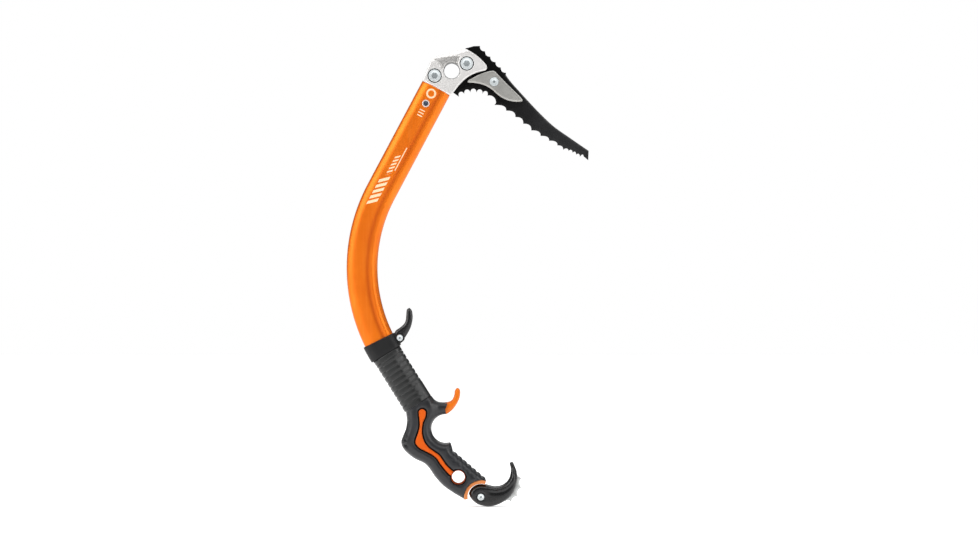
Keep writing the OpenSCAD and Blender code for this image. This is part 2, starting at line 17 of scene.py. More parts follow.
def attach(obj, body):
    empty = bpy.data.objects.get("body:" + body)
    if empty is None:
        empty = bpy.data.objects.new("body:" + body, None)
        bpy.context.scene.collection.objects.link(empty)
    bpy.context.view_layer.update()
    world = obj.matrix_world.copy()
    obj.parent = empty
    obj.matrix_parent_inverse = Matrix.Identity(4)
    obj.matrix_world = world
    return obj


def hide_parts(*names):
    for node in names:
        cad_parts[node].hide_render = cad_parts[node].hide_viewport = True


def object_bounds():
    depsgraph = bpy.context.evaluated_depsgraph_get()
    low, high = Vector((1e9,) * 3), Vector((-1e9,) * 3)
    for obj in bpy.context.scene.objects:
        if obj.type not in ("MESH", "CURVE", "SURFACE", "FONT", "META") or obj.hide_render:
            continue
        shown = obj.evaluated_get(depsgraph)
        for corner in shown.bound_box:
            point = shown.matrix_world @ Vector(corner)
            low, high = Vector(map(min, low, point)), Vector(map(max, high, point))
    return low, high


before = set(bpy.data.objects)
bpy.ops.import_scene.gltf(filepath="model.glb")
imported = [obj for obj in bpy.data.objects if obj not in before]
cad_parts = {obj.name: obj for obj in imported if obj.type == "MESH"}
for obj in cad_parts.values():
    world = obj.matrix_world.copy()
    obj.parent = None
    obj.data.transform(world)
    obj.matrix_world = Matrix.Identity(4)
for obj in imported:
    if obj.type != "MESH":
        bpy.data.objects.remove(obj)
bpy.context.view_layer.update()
MM = 0.001
SHORTEST = 0.02     # parts of an outline under this length are dropped
CHUNK = 3000        # points handled at a time in the distance and inside tests
V = lambda x, z: np.array([float(x), float(z)])


# -------- points and curves

def polar(a):
    return np.array([math.cos(math.radians(a)), math.sin(math.radians(a))])


def unit(v):
    return v / np.linalg.norm(v)


def on_circle(c, r, a0, a1, n=24):
    return [np.asarray(c) + r * polar(a0 + (a1 - a0) * i / n) for i in range(n + 1)]


def circle(c, r, n=72):
    """A closed loop of n points."""
    return on_circle(c, r, 0, 360 - 360 / n, n - 1)


def smooth(points, n=8):
    """A curve through all the points (Catmull-Rom), with n steps from each to the next."""
    p = [np.asarray(q, float) for q in points]
    out = []
    for i in range(len(p) - 1):
        a, b, c, d = p[max(i - 1, 0)], p[i], p[i + 1], p[min(i + 2, len(p) - 1)]
        for k in range(n):
            t = k / n
            out.append(0.5 * (2 * b + (c - a) * t + (2 * a - 5 * b + 4 * c - d) * t * t
                              + (3 * b - a - 3 * c + d) * t ** 3))
    return out + [p[-1]]


def bend2(a, b, c, n=10):
    a, b, c = map(np.asarray, (a, b, c))
    return [(1 - t) ** 2 * a + 2 * t * (1 - t) * b + t * t * c for t in np.linspace(0, 1, n + 1)]


def bend3(a, b, c, d, n=16):
    a, b, c, d = map(np.asarray, (a, b, c, d))
    return [(1 - t) ** 3 * a + 3 * (1 - t) ** 2 * t * b + 3 * (1 - t) * t * t * c + t ** 3 * d
            for t in np.linspace(0, 1, n + 1)]


def hollows(tips, depth):
    """A hollow between each two tips of teeth, drawn towards the corner under the first."""
    out = []
    for a, b in zip(tips, tips[1:]):
        a, b = np.asarray(a, float), np.asarray(b, float)
        mid, under = (a + b) / 2, V(a[0], b[1])
        out += bend2(a, mid + depth * (under - mid), b)
    return out


def notches(tips, h):
    """Round notches between small tips. h is how far the curve's handles stand off."""
    out = []
    for a, b in zip(tips, tips[1:]):
        a, b = np.asarray(a, float), np.asarray(b, float)
        d = unit(b - a)
        up = h * np.array([d[1], -d[0]])
        out += bend3(a, a + up, b + up, b, 12)
    return out


def fangs(tips, up):
    """Curves between the beak's small tips, pulled along the vector up."""
    out = []
    for a, b in zip(tips, tips[1:]):
        a, b = np.asarray(a, float), np.asarray(b, float)
        out += bend3(a, a + up + (b - a) / 4, b + up - (b - a) / 4, b, 8)
    return out


def corner(a, b, c, r, n=8):
    """The arc of radius r that rounds the corner at b between a and c."""
    a, b, c = map(np.asarray, (a, b, c))
    u, v = unit(a - b), unit(c - b)
    half = math.acos(max(-1, min(1, float(u @ v)))) / 2
    centre = b + unit(u + v) * r / math.sin(half)
    start = b + u * r / math.tan(half) - centre
    turn = np.sign(u[0] * v[1] - u[1] * v[0]) * (2 * half - math.pi)
    out = []
    for i in range(n + 1):
        t = turn * i / n
        out.append(centre + np.array([start[0] * math.cos(t) - start[1] * math.sin(t),
                                      start[0] * math.sin(t) + start[1] * math.cos(t)]))
    return out


def resample(points, step, closed=True):
    """The polyline with no part longer than step."""
    p = [np.asarray(q, float) for q in points]
    ends = p[1:] + [p[0]] if closed else p[1:]
    out = []
    for a, b in zip(p, ends):
        length = np.linalg.norm(b - a)
        if length < SHORTEST:
            continue
        n = max(1, int(math.ceil(length / step)))
        out += [a + (b - a) * i / n for i in range(n)]
    if not closed:
        out.append(p[-1])
    return np.array(out)


def ramp(x, lo, hi):
    """A smooth step from 0 at lo to 1 at hi."""
    t = np.clip((x - lo) / (hi - lo), 0, 1)
    return t * t * (3 - 2 * t)


def dome(d, reach, rise):
    """How far a face lies under its full height at distance d from the rim."""
    t = 1 - np.clip(d / reach, 0, 1)
    return rise * (1 - np.sqrt(np.maximum(0, 1 - t * t)))


def swell(full, edge, d, reach, power=2.0, share=1.0):
    """The height of a rounded face: full inside, and falling by share of the way to edge at the rim."""
    t = 1 - np.clip(d / reach, 0, 1)
    return full - (full - edge) * (1 - np.sqrt(np.maximum(0, 1 - t ** power))) * share


# -------- distance and inside tests

def distance(lines, pts):
    """Shortest distance from each point to a list of (polyline, closed)."""
    best = np.full(len(pts), 1e9)
    for line, closed in lines:
        a = np.asarray(line, float)
        b = np.roll(a, -1, 0) if closed else a[1:]
        a = a if closed else a[:-1]
        d = b - a
        ll = np.maximum((d * d).sum(1), 1e-12)
        for k in range(0, len(pts), CHUNK):
            p = pts[k:k + CHUNK, None, :]
            t = np.clip(((p - a) * d).sum(2) / ll, 0, 1)
            q = a + t[..., None] * d
            best[k:k + CHUNK] = np.minimum(best[k:k + CHUNK], np.sqrt(((p - q) ** 2).sum(2)).min(1))
    return best


def inside(loop, pts):
    """Which points lie in a closed loop, by counting crossings."""
    loop = np.asarray(loop, float)
    nxt = np.roll(loop, -1, 0)
    out = np.zeros(len(pts), bool)
    for k in range(0, len(pts), CHUNK):
        x, y = pts[k:k + CHUNK, 0][:, None], pts[k:k + CHUNK, 1][:, None]
        cross = (loop[:, 1] > y) != (nxt[:, 1] > y)
        at = (nxt[:, 0] - loop[:, 0]) * (y - loop[:, 1]) / (nxt[:, 1] - loop[:, 1] + 1e-15) + loop[:, 0]
        out[k:k + CHUNK] = (cross & (x < at)).sum(1) % 2 == 1
    return out


def plan(c):
    """Places in the X-Z plane of points in space."""
    return c[:, [0, 2]]


def away(p, centre):
    """Distance of points in the X-Z plane from a centre."""
    return np.linalg.norm(p - centre, axis=1)


def inset(loop, d):
    """The loop moved in by d along its normals, without the points that would fold over."""
    p = resample(loop, 0.8)
    t = np.roll(p, -1, 0) - np.roll(p, 1, 0)
    n = np.stack([-t[:, 1], t[:, 0]], 1) / np.linalg.norm(t, axis=1)[:, None]
    if not inside(p, p[:1] + n[:1] * 0.05)[0]:
        n = -n
    q = p + n * d
    return q[distance([(p, True)], q) > abs(d) * 0.97]


# -------- meshes

RING_KEEP = 0.93    # a ring point must stay this share of its distance from every rim
ROW = 0.87          # rows of the triangular grid, in grid steps
CLEAR = 0.35        # least distance of a grid point from rings and lines, in grid steps
NEAREST = 0.06      # least distance of any added point from a line
RIM_WEAR_AND_LIGHT_REACH = 0.45   # how far in from a rim the mask for rubbed edges and painted highlight falls to 1/e


def piece(name, shape, body, mat, stands_for=(), sharp=38, also=()):
    """A mesh object that rides on a body.

    shape is vertices in mm, faces and, if wanted, each vertex's mask for rubbed edges and painted highlight,
    which on the tube is painted shade. stands_for names the CAD nodes that it replaces. also is other
    materials, each with a test of face centres in mm; the last that holds wins.
    """
    verts, faces = shape[:2]
    me = bpy.data.meshes.new(name)
    me.from_pydata((np.asarray(verts, float) * MM).tolist(), [], [tuple(int(i) for i in f) for f in faces])
    wear_and_painted_light = me.attributes.new("wear_and_painted_light", "FLOAT", "POINT")
    if len(shape) > 2:
        wear_and_painted_light.data.foreach_set("value", np.asarray(shape[2], np.float32))
    bm = bmesh.new()
    bm.from_mesh(me)
    bmesh.ops.remove_doubles(bm, verts=bm.verts, dist=2e-7)
    bmesh.ops.dissolve_degenerate(bm, edges=bm.edges, dist=1e-7)
    bmesh.ops.recalc_face_normals(bm, faces=bm.faces)
    bm.to_mesh(me)
    bm.free()
    for p in me.polygons:
        p.use_smooth = True
    me.set_sharp_from_angle(angle=math.radians(sharp))
    me.materials.append(mat)
    for other, test in also:
        me.materials.append(other)
        index = len(me.materials) - 1
        centres = np.array([p.center for p in me.polygons]) / MM
        for p, hit in zip(me.polygons, test(centres)):
            if hit:
                p.material_index = index
    ob = bpy.data.objects.new(name, me)
    bpy.context.scene.collection.objects.link(ob)
    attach(ob, body)
    if stands_for:
        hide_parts(*stands_for)


def relief(outline, front, back=None, holes=(), lines=(), rims=None, *, rings, step, grid, soften=0):
    """Vertices, faces and a rim mask, for rubbed edges and painted highlight, of a closed solid between y =
    -front and y = +back over an outline.

    front and back take places and their distance to rims, which is every wall unless given. lines are edges
    that the mesh must have. rings are distances from the rims at which points are put. soften is rounds of
    smoothing.
    """
    back = back or front
    loops = [resample(outline, step)] + [resample(h, step) for h in holes]
    lines = [(resample(q, step, closed), closed) for q, closed in lines]
    walls = [(q, True) for q in loops]
    rims = [(resample(q, step, closed), closed) for q, closed in rims] if rims is not None else walls
    pts, edges = [], []
    for q, closed in walls + lines:
        first, n = len(pts), len(q)
        pts += list(q)
        edges += [(first + i, first + (i + 1) % n) for i in range(n if closed else n - 1)]

    def within(p):
        ok = inside(loops[0], p)
        for h in loops[1:]:
            ok &= ~inside(h, p)
        return ok

    extra = []
    for q, closed in rims:
        t = np.roll(q, -1, 0) - np.roll(q, 1, 0)
        if not closed:
            t[0], t[-1] = q[1] - q[0], q[-1] - q[-2]
        n = np.stack([-t[:, 1], t[:, 0]], 1) / np.maximum(np.linalg.norm(t, axis=1), 1e-9)[:, None]
        for s in (1, -1):
            for d in rings:
                cand = q + s * n * d
                cand = cand[within(cand)]
                if len(cand):
                    extra.append(cand[distance(rims, cand) > RING_KEEP * d])
    lo, hi = loops[0].min(0), loops[0].max(0)
    xs, zs = np.arange(lo[0], hi[0], grid), np.arange(lo[1], hi[1], grid * ROW)
    gx, gz = np.meshgrid(xs, zs)
    gx = gx + (np.arange(len(zs)) % 2)[:, None] * grid / 2
    g = np.stack([gx.ravel(), gz.ravel()], 1)
    g = g[within(g)]
    if len(g):
        far = distance(rims, g) > max(rings) + CLEAR * grid
        extra.append(g[far & (distance(walls + lines, g) > CLEAR * grid)])
    if extra:
        e = np.concatenate(extra)
        e = e[distance(walls + lines, e) > NEAREST]
        pts += list(e)
    v, _, f, *_ = delaunay_2d_cdt([Vector(p) for p in pts], edges, [], 0, 1e-5)
    v = np.array([(q[0], q[1]) for q in v])
    f = np.array(f)
    mid = v[f].mean(1)
    f = f[within(mid)]
    used = np.unique(f)
    remap = -np.ones(len(v), int)
    remap[used] = np.arange(len(used))
    v, f = v[used], remap[f]
    area = (v[f[:, 1], 0] - v[f[:, 0], 0]) * (v[f[:, 2], 1] - v[f[:, 0], 1]) \
        - (v[f[:, 1], 1] - v[f[:, 0], 1]) * (v[f[:, 2], 0] - v[f[:, 0], 0])
    f[area < 0] = f[area < 0][:, ::-1]
    d = distance(rims, v)
    hf, hb = front(v, d), back(v, d)
    if soften:
        held = distance(walls, v) < 1e-3
        e = np.concatenate([f[:, [0, 1]], f[:, [1, 2]], f[:, [2, 0]]])
        for _ in range(soften):
            for h in (hf, hb):
                total, count = np.zeros(len(v)), np.zeros(len(v))
                for a, b in ((0, 1), (1, 0)):
                    np.add.at(total, e[:, a], h[e[:, b]])
                    np.add.at(count, e[:, a], 1)
                new = 0.4 * h + 0.6 * total / count
                h[~held] = new[~held]
    n = len(v)
    verts = np.concatenate([np.stack([v[:, 0], -hf, v[:, 1]], 1), np.stack([v[:, 0], hb, v[:, 1]], 1)])
    faces = [tuple(t) for t in f] + [tuple(t[::-1] + n) for t in f]
    seen = {}
    for t in f:
        for a, b in ((t[0], t[1]), (t[1], t[2]), (t[2], t[0])):
            seen[(a, b)] = True
    for a, b in seen:
        if (b, a) not in seen:
            faces.append((b, a, a + n, b + n))
    return verts, faces, np.tile(np.exp(-d / RIM_WEAR_AND_LIGHT_REACH), 2)


def grid_solid(rings, wrap=False):
    """Quads over rings of points. A wrapped grid has no ends; the others are closed with fans."""
    rings = np.asarray(rings, float)
    m, n = rings.shape[:2]
    verts = rings.reshape(-1, 3)
    faces = []
    for j in range(m if wrap else m - 1):
        k = (j + 1) % m
        for i in range(n):
            i2 = (i + 1) % n
            faces.append((j * n + i, j * n + i2, k * n + i2, k * n + i))
    if not wrap:
        ends = []
        for j in (0, m - 1):
            ends.append(rings[j].mean(0))
            c = m * n + len(ends) - 1
            faces += [(c, j * n + (i + 1) % n, j * n + i) if j == 0 else (c, j * n + i, j * n + (i + 1) % n)
                      for i in range(n)]
        verts = np.concatenate([verts, np.array(ends)])
    return verts, faces


def turned(c, rings, n=72, lobe=0.14):
    """A turned solid round an axis along Y. Each ring is (form, radius, y). The form is 'o' round,
    'h' hexagonal or '*' six-lobed, with dips of lobe times the radius."""
    out = []
    for form, r, y in rings:
        ring = []
        for i in range(n):
            a = 360 * i / n
            k = (a + 30) % 60 - 30
            rho = r
            if form == "h":
                rho = r / math.cos(math.radians(k))
            if form == "*":
                rho = r * (1 - lobe * (0.5 - 0.5 * math.cos(math.radians(6 * a))))
            p = polar(a) * rho
            ring.append((c[0] + p[0], y, c[1] + p[1]))
        out.append(ring)
    return grid_solid(out)


# -------- material builders

def srgb(r, g, b):
    f = lambda c: c / 12.92 if c <= 0.04045 else ((c + 0.055) / 1.055) ** 2.4
    return tuple(f(c / 255) for c in (r, g, b)) + (1.0,)


class Nodes:
    """The node tree of a material or world, with short forms for the nodes that are used here."""

    def __init__(self, owner):
        self.owner = owner
        owner.use_nodes = True
        self.tree = owner.node_tree
        self.coord = self.new("ShaderNodeTexCoord").outputs["Object"]

    def new(self, kind, **values):
        n = self.tree.nodes.new(kind)
        for k, v in values.items():
            setattr(n, k, v)
        return n

    def link(self, a, b):
        self.tree.links.new(a, b)

    def put(self, socket, value):
        """Gives a socket a constant, or a link if value is a socket too."""
        if isinstance(value, (int, float, tuple)):
            socket.default_value = value
        else:
            self.link(value, socket)

    def math(self, op, a, b=None, clamp=False):
        n = self.new("ShaderNodeMath", operation=op, use_clamp=clamp)
        for socket, x in zip(n.inputs, (a, b)):
            if x is not None:
                self.put(socket, x)
        return n.outputs[0]

    def times(self, a, b, clamp=False):
        return self.math("MULTIPLY", a, b, clamp)

    def noise(self, scale, detail=3.0, rough=0.55, stretch=None, turn=0.0):
        co = self.coord
        if stretch:
            m = self.new("ShaderNodeMapping")
            m.inputs["Rotation"].default_value = (0, math.radians(turn), 0)
            m.inputs["Scale"].default_value = stretch
            self.link(co, m.inputs["Vector"])
            co = m.outputs[0]
        n = self.new("ShaderNodeTexNoise")
        n.inputs["Scale"].default_value = scale
        n.inputs["Detail"].default_value = detail
        n.inputs["Roughness"].default_value = rough
        self.link(co, n.inputs["Vector"])
        return n.outputs["Fac"]

    def spread(self, value, lo, hi, a=0.3, b=0.7, **kind):
        """Maps a..b, the middle of a noise's range unless given, to lo..hi."""
        n = self.new("ShaderNodeMapRange", **kind)
        for k, x in (("From Min", a), ("From Max", b), ("To Min", lo), ("To Max", hi)):
            n.inputs[k].default_value = x
        self.link(value, n.inputs["Value"])
        return n.outputs["Result"]

    def mix(self, fac, a, b):
        n = self.new("ShaderNodeMix", data_type="RGBA")
        for k, x in (("Factor", fac), ("A", a), ("B", b)):
            self.put(n.inputs[k], x)
        return n.outputs["Result"]

    def bump(self, height, distance, strength=1.0, under=None):
        n = self.new("ShaderNodeBump")
        n.inputs["Strength"].default_value = strength
        n.inputs["Distance"].default_value = distance
        self.link(height, n.inputs["Height"])
        if under is not None:
            self.link(under, n.inputs["Normal"])
        return n.outputs["Normal"]

    def set(self, **values):
        for k, v in values.items():
            self.put(self.tree.nodes["Principled BSDF"].inputs[k.replace("_", " ")], v)
        return self.owner


def metal(name, base, dark, rough, grain, rim_wear_and_highlight=0.0, stretch=None, turn=0.0, metallic=1.0, bump=0.00004,
          painted_shade_span=None, spec=0.5):
    """Metal with a clouded tone and a fine grain. rim_wear_and_highlight lightens the rims, partly as
    chipped, rubbed edges and partly as painted highlight. painted_shade_span is two X, in metres, between
    which painted shade of black turns to the metal's own tone."""
    m = Nodes(bpy.data.materials.new(name))
    cloud = m.noise(55, 4)
    fine = m.noise(grain, 3, 0.6, stretch, turn)
    tone = m.math("ADD", m.times(cloud, 0.55), m.times(fine, 0.45))
    col = m.mix(m.spread(tone, 0.0, 1.0), dark, base)
    if painted_shade_span:
        # Painted shade: black up to the first X, turning to the metal's tone by the second.
        sep = m.new("ShaderNodeSeparateXYZ")
        m.link(m.coord, sep.inputs[0])
        col = m.mix(m.spread(sep.outputs["X"], 0.0, 1.0, *painted_shade_span), srgb(5, 5, 5), col)
    # Lighter rims: chipped, rubbed edges together with a painted highlight along them.
    if rim_wear_and_highlight:
        edge = m.new("ShaderNodeAttribute", attribute_name="wear_and_painted_light").outputs["Fac"]
        chips_and_rim_highlight = m.times(edge, m.spread(m.noise(700, 4, 0.65), 0.15, 1.0, 0.36, 0.60), True)
        col = m.mix(m.times(chips_and_rim_highlight, rim_wear_and_highlight), col, srgb(205, 205, 203))
    return m.set(Base_Color=col, Metallic=metallic, Roughness=m.spread(fine, rough - 0.07, rough + 0.09),
                 Specular_IOR_Level=spec, Normal=m.bump(fine, bump, 0.5))


def moulded(name, base, light, rough, grain=2600, spec=0.5, scuff=0.25):
    """Plastic or rubber with pits, a fine texture and faint scuffs of the lighter tone."""
    m = Nodes(bpy.data.materials.new(name))
    cloud = m.noise(38, 4)
    tex = m.noise(grain, 2, 0.5)
    pits = m.noise(grain * 0.35, 3, 0.6)
    marks = m.spread(m.noise(240, 4, 0.6, (1, 1, 6), 30), 0.0, 1.0, 0.56, 0.74)
    col = m.mix(m.spread(cloud, 0.0, 1.0), base, light)
    col = m.mix(m.times(marks, scuff), col, light)
    r = m.spread(pits, rough - 0.06, rough + 0.08)
    n = m.bump(tex, 0.00003, 0.8, m.bump(pits, 0.00006, 0.5))
    return m.set(Base_Color=col, Roughness=r, Normal=n, Specular_IOR_Level=spec)


# -------- the part's own dimensions

SHAFT_W, SHAFT_T = 33.5, 21.0   # the tube's width in the X-Z plane and its thickness
TOP_TILT, TOP_L, BOW_R, GRIP_TILT = 28, 127, 176.0, 32
A0, A1 = 152.0, 212.0           # the bow's ends, as angles about bow_c
SLEEVE_L = 64.0
shaft_top = V(-17, -18.6)
top_dir = V(math.sin(math.radians(TOP_TILT)), math.cos(math.radians(TOP_TILT)))
top_side = V(top_dir[1], -top_dir[0])
bow_c = shaft_top - TOP_L * top_dir - BOW_R * polar(A0)
grip_dir = V(math.sin(math.radians(GRIP_TILT)), -math.cos(math.radians(GRIP_TILT)))
grip_side = V(-grip_dir[1], grip_dir[0])
grip_top = bow_c + BOW_R * polar(A1)
on_top = lambda s, side: shaft_top - s * top_dir + side * top_side
on_grip = lambda s, side: grip_top + s * grip_dir + side * grip_side
EYE, FRONT_BOLT, REAR_BOLT, WEIGHT_HOLE = V(0, 0), V(16.3, 8), V(-18.5, -5.2), V(46, -11.6)
RIVET, HOLE, REST = on_top(20, -1.8), V(7.2, -439.7), V(31.6, -461.3)
NOTCH, FINGER = V(-6.5, -387.4), V(-56.2, -289)
EYE_R, HOLE_R, NOTCH_R, SEAT_R, SHIM_R, SHIM_W = 8.4, 7.0, 15.5, 13.5, 14.4, 3.8
HEAD_Y, WEIGHT_Y, HANDLE_Y, REST_Y = 9.5, 7.05, 13.5, 11.5  # half thicknesses

# -------- the part's materials

forged = metal("forged_aluminium", srgb(228, 226, 224), srgb(214, 212, 210), 0.36, 1400, rim_wear_and_highlight=0.25,
               bump=0.00003, metallic=0.45)
# A grey, shaded copy of the head's aluminium: painted shade on the eye's bore and the inner edge of its
# chamfer.
eye_bore_shade = metal("shaded_eye_bore", srgb(112, 112, 114), srgb(90, 90, 92), 0.45, 900)
# A darker copy of the forged aluminium with a long machined grain: the grain is the metal's, the darkness is
# painted shade in the scoop and on the eye's chamfer.
scoop_shade_aluminium = metal("machined_aluminium_shaded", srgb(192, 190, 187), srgb(166, 165, 163), 0.38, 900,
                stretch=(1, 1, 9), turn=20, metallic=0.5)
# The pick's steel, with painted shade towards the head.
black_steel = metal("black_oxide_steel", srgb(44, 44, 45), srgb(30, 30, 31), 0.45, 1100, rim_wear_and_highlight=0.38,
                    stretch=(1, 1, 7), turn=42, metallic=0.15, painted_shade_span=(0.050, 0.105), spec=0.12)
grey_steel = metal("brushed_grey_steel", srgb(188, 187, 182), srgb(152, 151, 147), 0.34, 520, rim_wear_and_highlight=0.2,
                   stretch=(1, 1, 14), turn=38, bump=0.00006, metallic=0.6)
spike_steel = metal("serrated_steel", srgb(206, 207, 206), srgb(170, 171, 170), 0.36, 700, rim_wear_and_highlight=0.3,
                    stretch=(1, 1, 8), turn=-20, metallic=0.6)
bright_steel = metal("bright_steel", srgb(236, 242, 243), srgb(204, 211, 213), 0.32, 1900, rim_wear_and_highlight=0.3,
                     metallic=0.5)
dark_steel = metal("shaded_steel", srgb(184, 191, 193), srgb(142, 149, 151), 0.45, 1900, metallic=0.6)
# Painted shade: the floor of the bolt seats, in the gap round each bolt head, near black.
seat_shade = metal("painted_seat_shade", srgb(16, 18, 20), srgb(8, 9, 10), 0.7, 1900, metallic=0.0, spec=0.1)
blue_rivet = metal("dark_rivet", srgb(96, 108, 128), srgb(58, 66, 82), 0.34, 1500, metallic=0.7)
pale_rivet = metal("pale_rivet", srgb(226, 218, 214), srgb(196, 190, 186), 0.34, 1500, metallic=0.5)
rubber = moulded("grip_rubber", srgb(21, 22, 25), srgb(32, 33, 37), 0.36, scuff=0.22)
# A darker, matt copy of the grip rubber: painted shade in grooves and gaps.
rubber_groove_shade = moulded("rubber_groove_shade", srgb(7, 5, 5), srgb(12, 8, 7), 0.8, spec=0.05, scuff=0.1)
ribbed_rubber = moulded("ribbed_rubber", srgb(12, 13, 13), srgb(24, 25, 25), 0.35, grain=2200, scuff=0.3)
black_plastic = moulded("black_plastic", srgb(10, 10, 11), srgb(18, 18, 19), 0.27, grain=3000)
matt_plastic = moulded("matt_black_plastic", srgb(14, 14, 15), srgb(24, 24, 25), 0.5, grain=3000, spec=0.3)
orange_plastic = moulded("orange_plastic", srgb(204, 79, 0), srgb(213, 89, 2), 0.40, grain=3200, spec=0.22,
                         scuff=0.3)
tip_plastic = moulded("orange_tip", srgb(214, 101, 0), srgb(222, 113, 3), 0.36, grain=3200, spec=0.3,
                      scuff=0.3)
# A shaded copy of the orange core: painted shade on the ring round the lower hole.
shaded_orange_plastic = moulded("shaded_orange", srgb(140, 52, 8), srgb(166, 68, 16), 0.5, grain=3200, spec=0.2)
pale_orange = moulded("orange_shim", srgb(196, 108, 48), srgb(210, 136, 80), 0.40, grain=3000, spec=0.35)


# Marks printed on the tube, in metres: a ring, a line, and rows of bars as (start, end, left, right, pitch,
# width, lean), with start and end down the tube and left and right across it.
RING_AT, RING_RADII = (0.0078, -0.0017), (0.0035, 0.0053)
SHORT_BARS = (0.0278, 0.0368, -0.0046, 0.0014, 0.0032, 0.0012, 0.0)
LARGE_BARS = (0.108, 0.141, -0.0076, 0.0016, 0.0066, 0.0040, 0.9)
SMALL_BARS = (0.082, 0.105, -0.0040, 0.0006, 0.0044, 0.0022, 0.9)
LINE_DOWN, LINE_ACROSS = (0.072, 0.100), (0.0022, 0.0032)


def anodised():
    """Anodised tube: faint drawing marks along it, painted shade in its groove and along its rims, and plain
    pale printed marks, which depend on X and Z only and so are on both sides."""
    m = Nodes(bpy.data.materials.new("orange_anodised"))
    cloud = m.noise(26, 4)
    drawn = m.noise(420, 3, 0.6, (1, 1, 0.06), 28)
    fine = m.noise(3600, 2)
    col = m.mix(m.spread(cloud, 0.0, 1.0), srgb(226, 106, 6), srgb(238, 120, 14))
    col = m.mix(m.spread(drawn, 0.0, 0.12, 0.45, 0.75), col, srgb(255, 158, 70))
    painted_shade = m.new("ShaderNodeAttribute", attribute_name="wear_and_painted_light").outputs["Fac"]
    # Painted shade, darker in the groove along the tube and at its rims.
    col = m.mix(m.times(painted_shade, 0.75), col, srgb(192, 76, 0))
    # Place along and across the straight run under the head, in metres.
    sep = m.new("ShaderNodeSeparateXYZ")
    m.link(m.coord, sep.inputs[0])
    x = m.math("SUBTRACT", sep.outputs["X"], shaft_top[0] * MM)
    z = m.math("SUBTRACT", sep.outputs["Z"], shaft_top[1] * MM)

    def dot(v):
        return m.math("ADD", m.times(x, float(v[0])), m.times(z, float(v[1])))

    down, across = dot(-top_dir), dot(top_side)

    def band(value, lo, hi, soft=0.00012):
        """1 between lo and hi and 0 outside, with soft edges."""
        above = m.spread(value, 0, 1, lo - soft, lo + soft)
        return m.times(above, m.spread(value, 1, 0, hi - soft, hi + soft))

    def bars(start, end, left, right, pitch, width, lean):
        slant = m.math("ADD", down, m.times(across, lean))
        # The 1.0 keeps the modulo's operand positive, and the 0.0004 sets where a bar starts in its pitch.
        each = band(m.math("MODULO", m.math("ADD", slant, 1.0), pitch), 0.0004, 0.0004 + width)
        place = m.times(band(slant, start, end), band(across, left, right))
        return m.times(each, place)

    rx = m.math("SUBTRACT", down, RING_AT[0])
    ry = m.math("SUBTRACT", across, RING_AT[1])
    r = m.math("SQRT", m.math("ADD", m.times(rx, rx), m.times(ry, ry)))
    marks = band(r, *RING_RADII, 0.0003)
    for row in (SHORT_BARS, LARGE_BARS, SMALL_BARS):
        marks = m.math("MAXIMUM", marks, bars(*row))
    marks = m.math("MAXIMUM", marks, m.times(band(down, *LINE_DOWN), band(across, *LINE_ACROSS)))
    marks = m.times(marks, m.spread(m.noise(1300, 4, 0.7), 0.72, 0.97, 0.34, 0.48), True)
    col = m.mix(marks, col, srgb(255, 214, 178))
    metal_part = m.math("SUBTRACT", 0.5, m.times(marks, 0.5))
    height = m.math("ADD", drawn, m.times(fine, 0.4))
    return m.set(Base_Color=col, Metallic=metal_part, Roughness=m.spread(fine, 0.36, 0.45),
                 Specular_Tint=srgb(255, 232, 190), Specular_IOR_Level=0.6,
                 Normal=m.bump(height, 0.00003, 0.5))


orange_tube = anodised()

# -------- head

NAPE, BROW = V(-21.3, 14.3), V(12, 24.1)    # the ends of the head's straight top edge
head_outline = (
    [on_top(-0.05, -16.6)]
    + corner(on_top(-0.05, -16.6), NAPE, BROW, 3)
    + [BROW]
    + bend3([13.4, 24.4], [24, 20.5], [33, 12.5], [37.6, 6.2])
    + bend2([37.6, 6.2], [39.6, 1], [34.5, 0])
    + bend3([34.5, 0], [19, -2.4], [9, -12.5], [1.2, -24.4])
    + corner(V(1.2, -24.4), on_top(-0.05, 18), on_top(-0.05, 13), 1.4)
)
scoop = (
    smooth([[-20.6, 13.2], [-12, 14.4], [-2, 15.6], [6, 16.4], [9.4, 15.8]])
    + smooth([[9.4, 15.8], [8.2, 11.6], [7.2, 8], [7.4, 4]])[1:]
    + on_circle(EYE, 8.45, 28, 150, 14)
    + smooth([[-8.6, 3.4], [-10.6, 2.4], [-12.6, 5.2], [-15.8, 8.8], [-19.4, 11.8]])
)


SEAT_FLOOR, SEAT_IN, SEAT_OUT, SEAT_BEVEL = 5.5, 7.7, 7.75, 8.3     # a bolt's seat: the floor's y, and radii
EYE_BEVEL = 9.5


def head_face(p, d):
    h = HEAD_Y - dome(d, 1.5, 1.3)
    h = np.minimum(h, HEAD_Y - np.clip(EYE_BEVEL - away(p, EYE), 0, 1.1) * 0.9)
    # A long bevel along the top edge.
    n = unit(V(-(BROW - NAPE)[1], (BROW - NAPE)[0]))
    h = np.minimum(h, HEAD_Y - 0.42 * np.clip((p - NAPE) @ n + 4.6, 0, 9))
    # The scoop is deeper towards the pick.
    ds = distance([(scoop, True)], p)
    lean = ramp(p[:, 0], -22, -4) * 1.9 + 0.9
    h = np.where(inside(scoop, p), np.minimum(h, HEAD_Y - lean * ramp(ds, -0.2, 2.2)), h)
    for c in (FRONT_BOLT, REAR_BOLT):
        rr = away(p, c)
        h = np.where(rr < 7.73, SEAT_FLOOR, np.minimum(h, HEAD_Y - np.clip(SEAT_BEVEL - rr, 0, 0.6)))
    return h


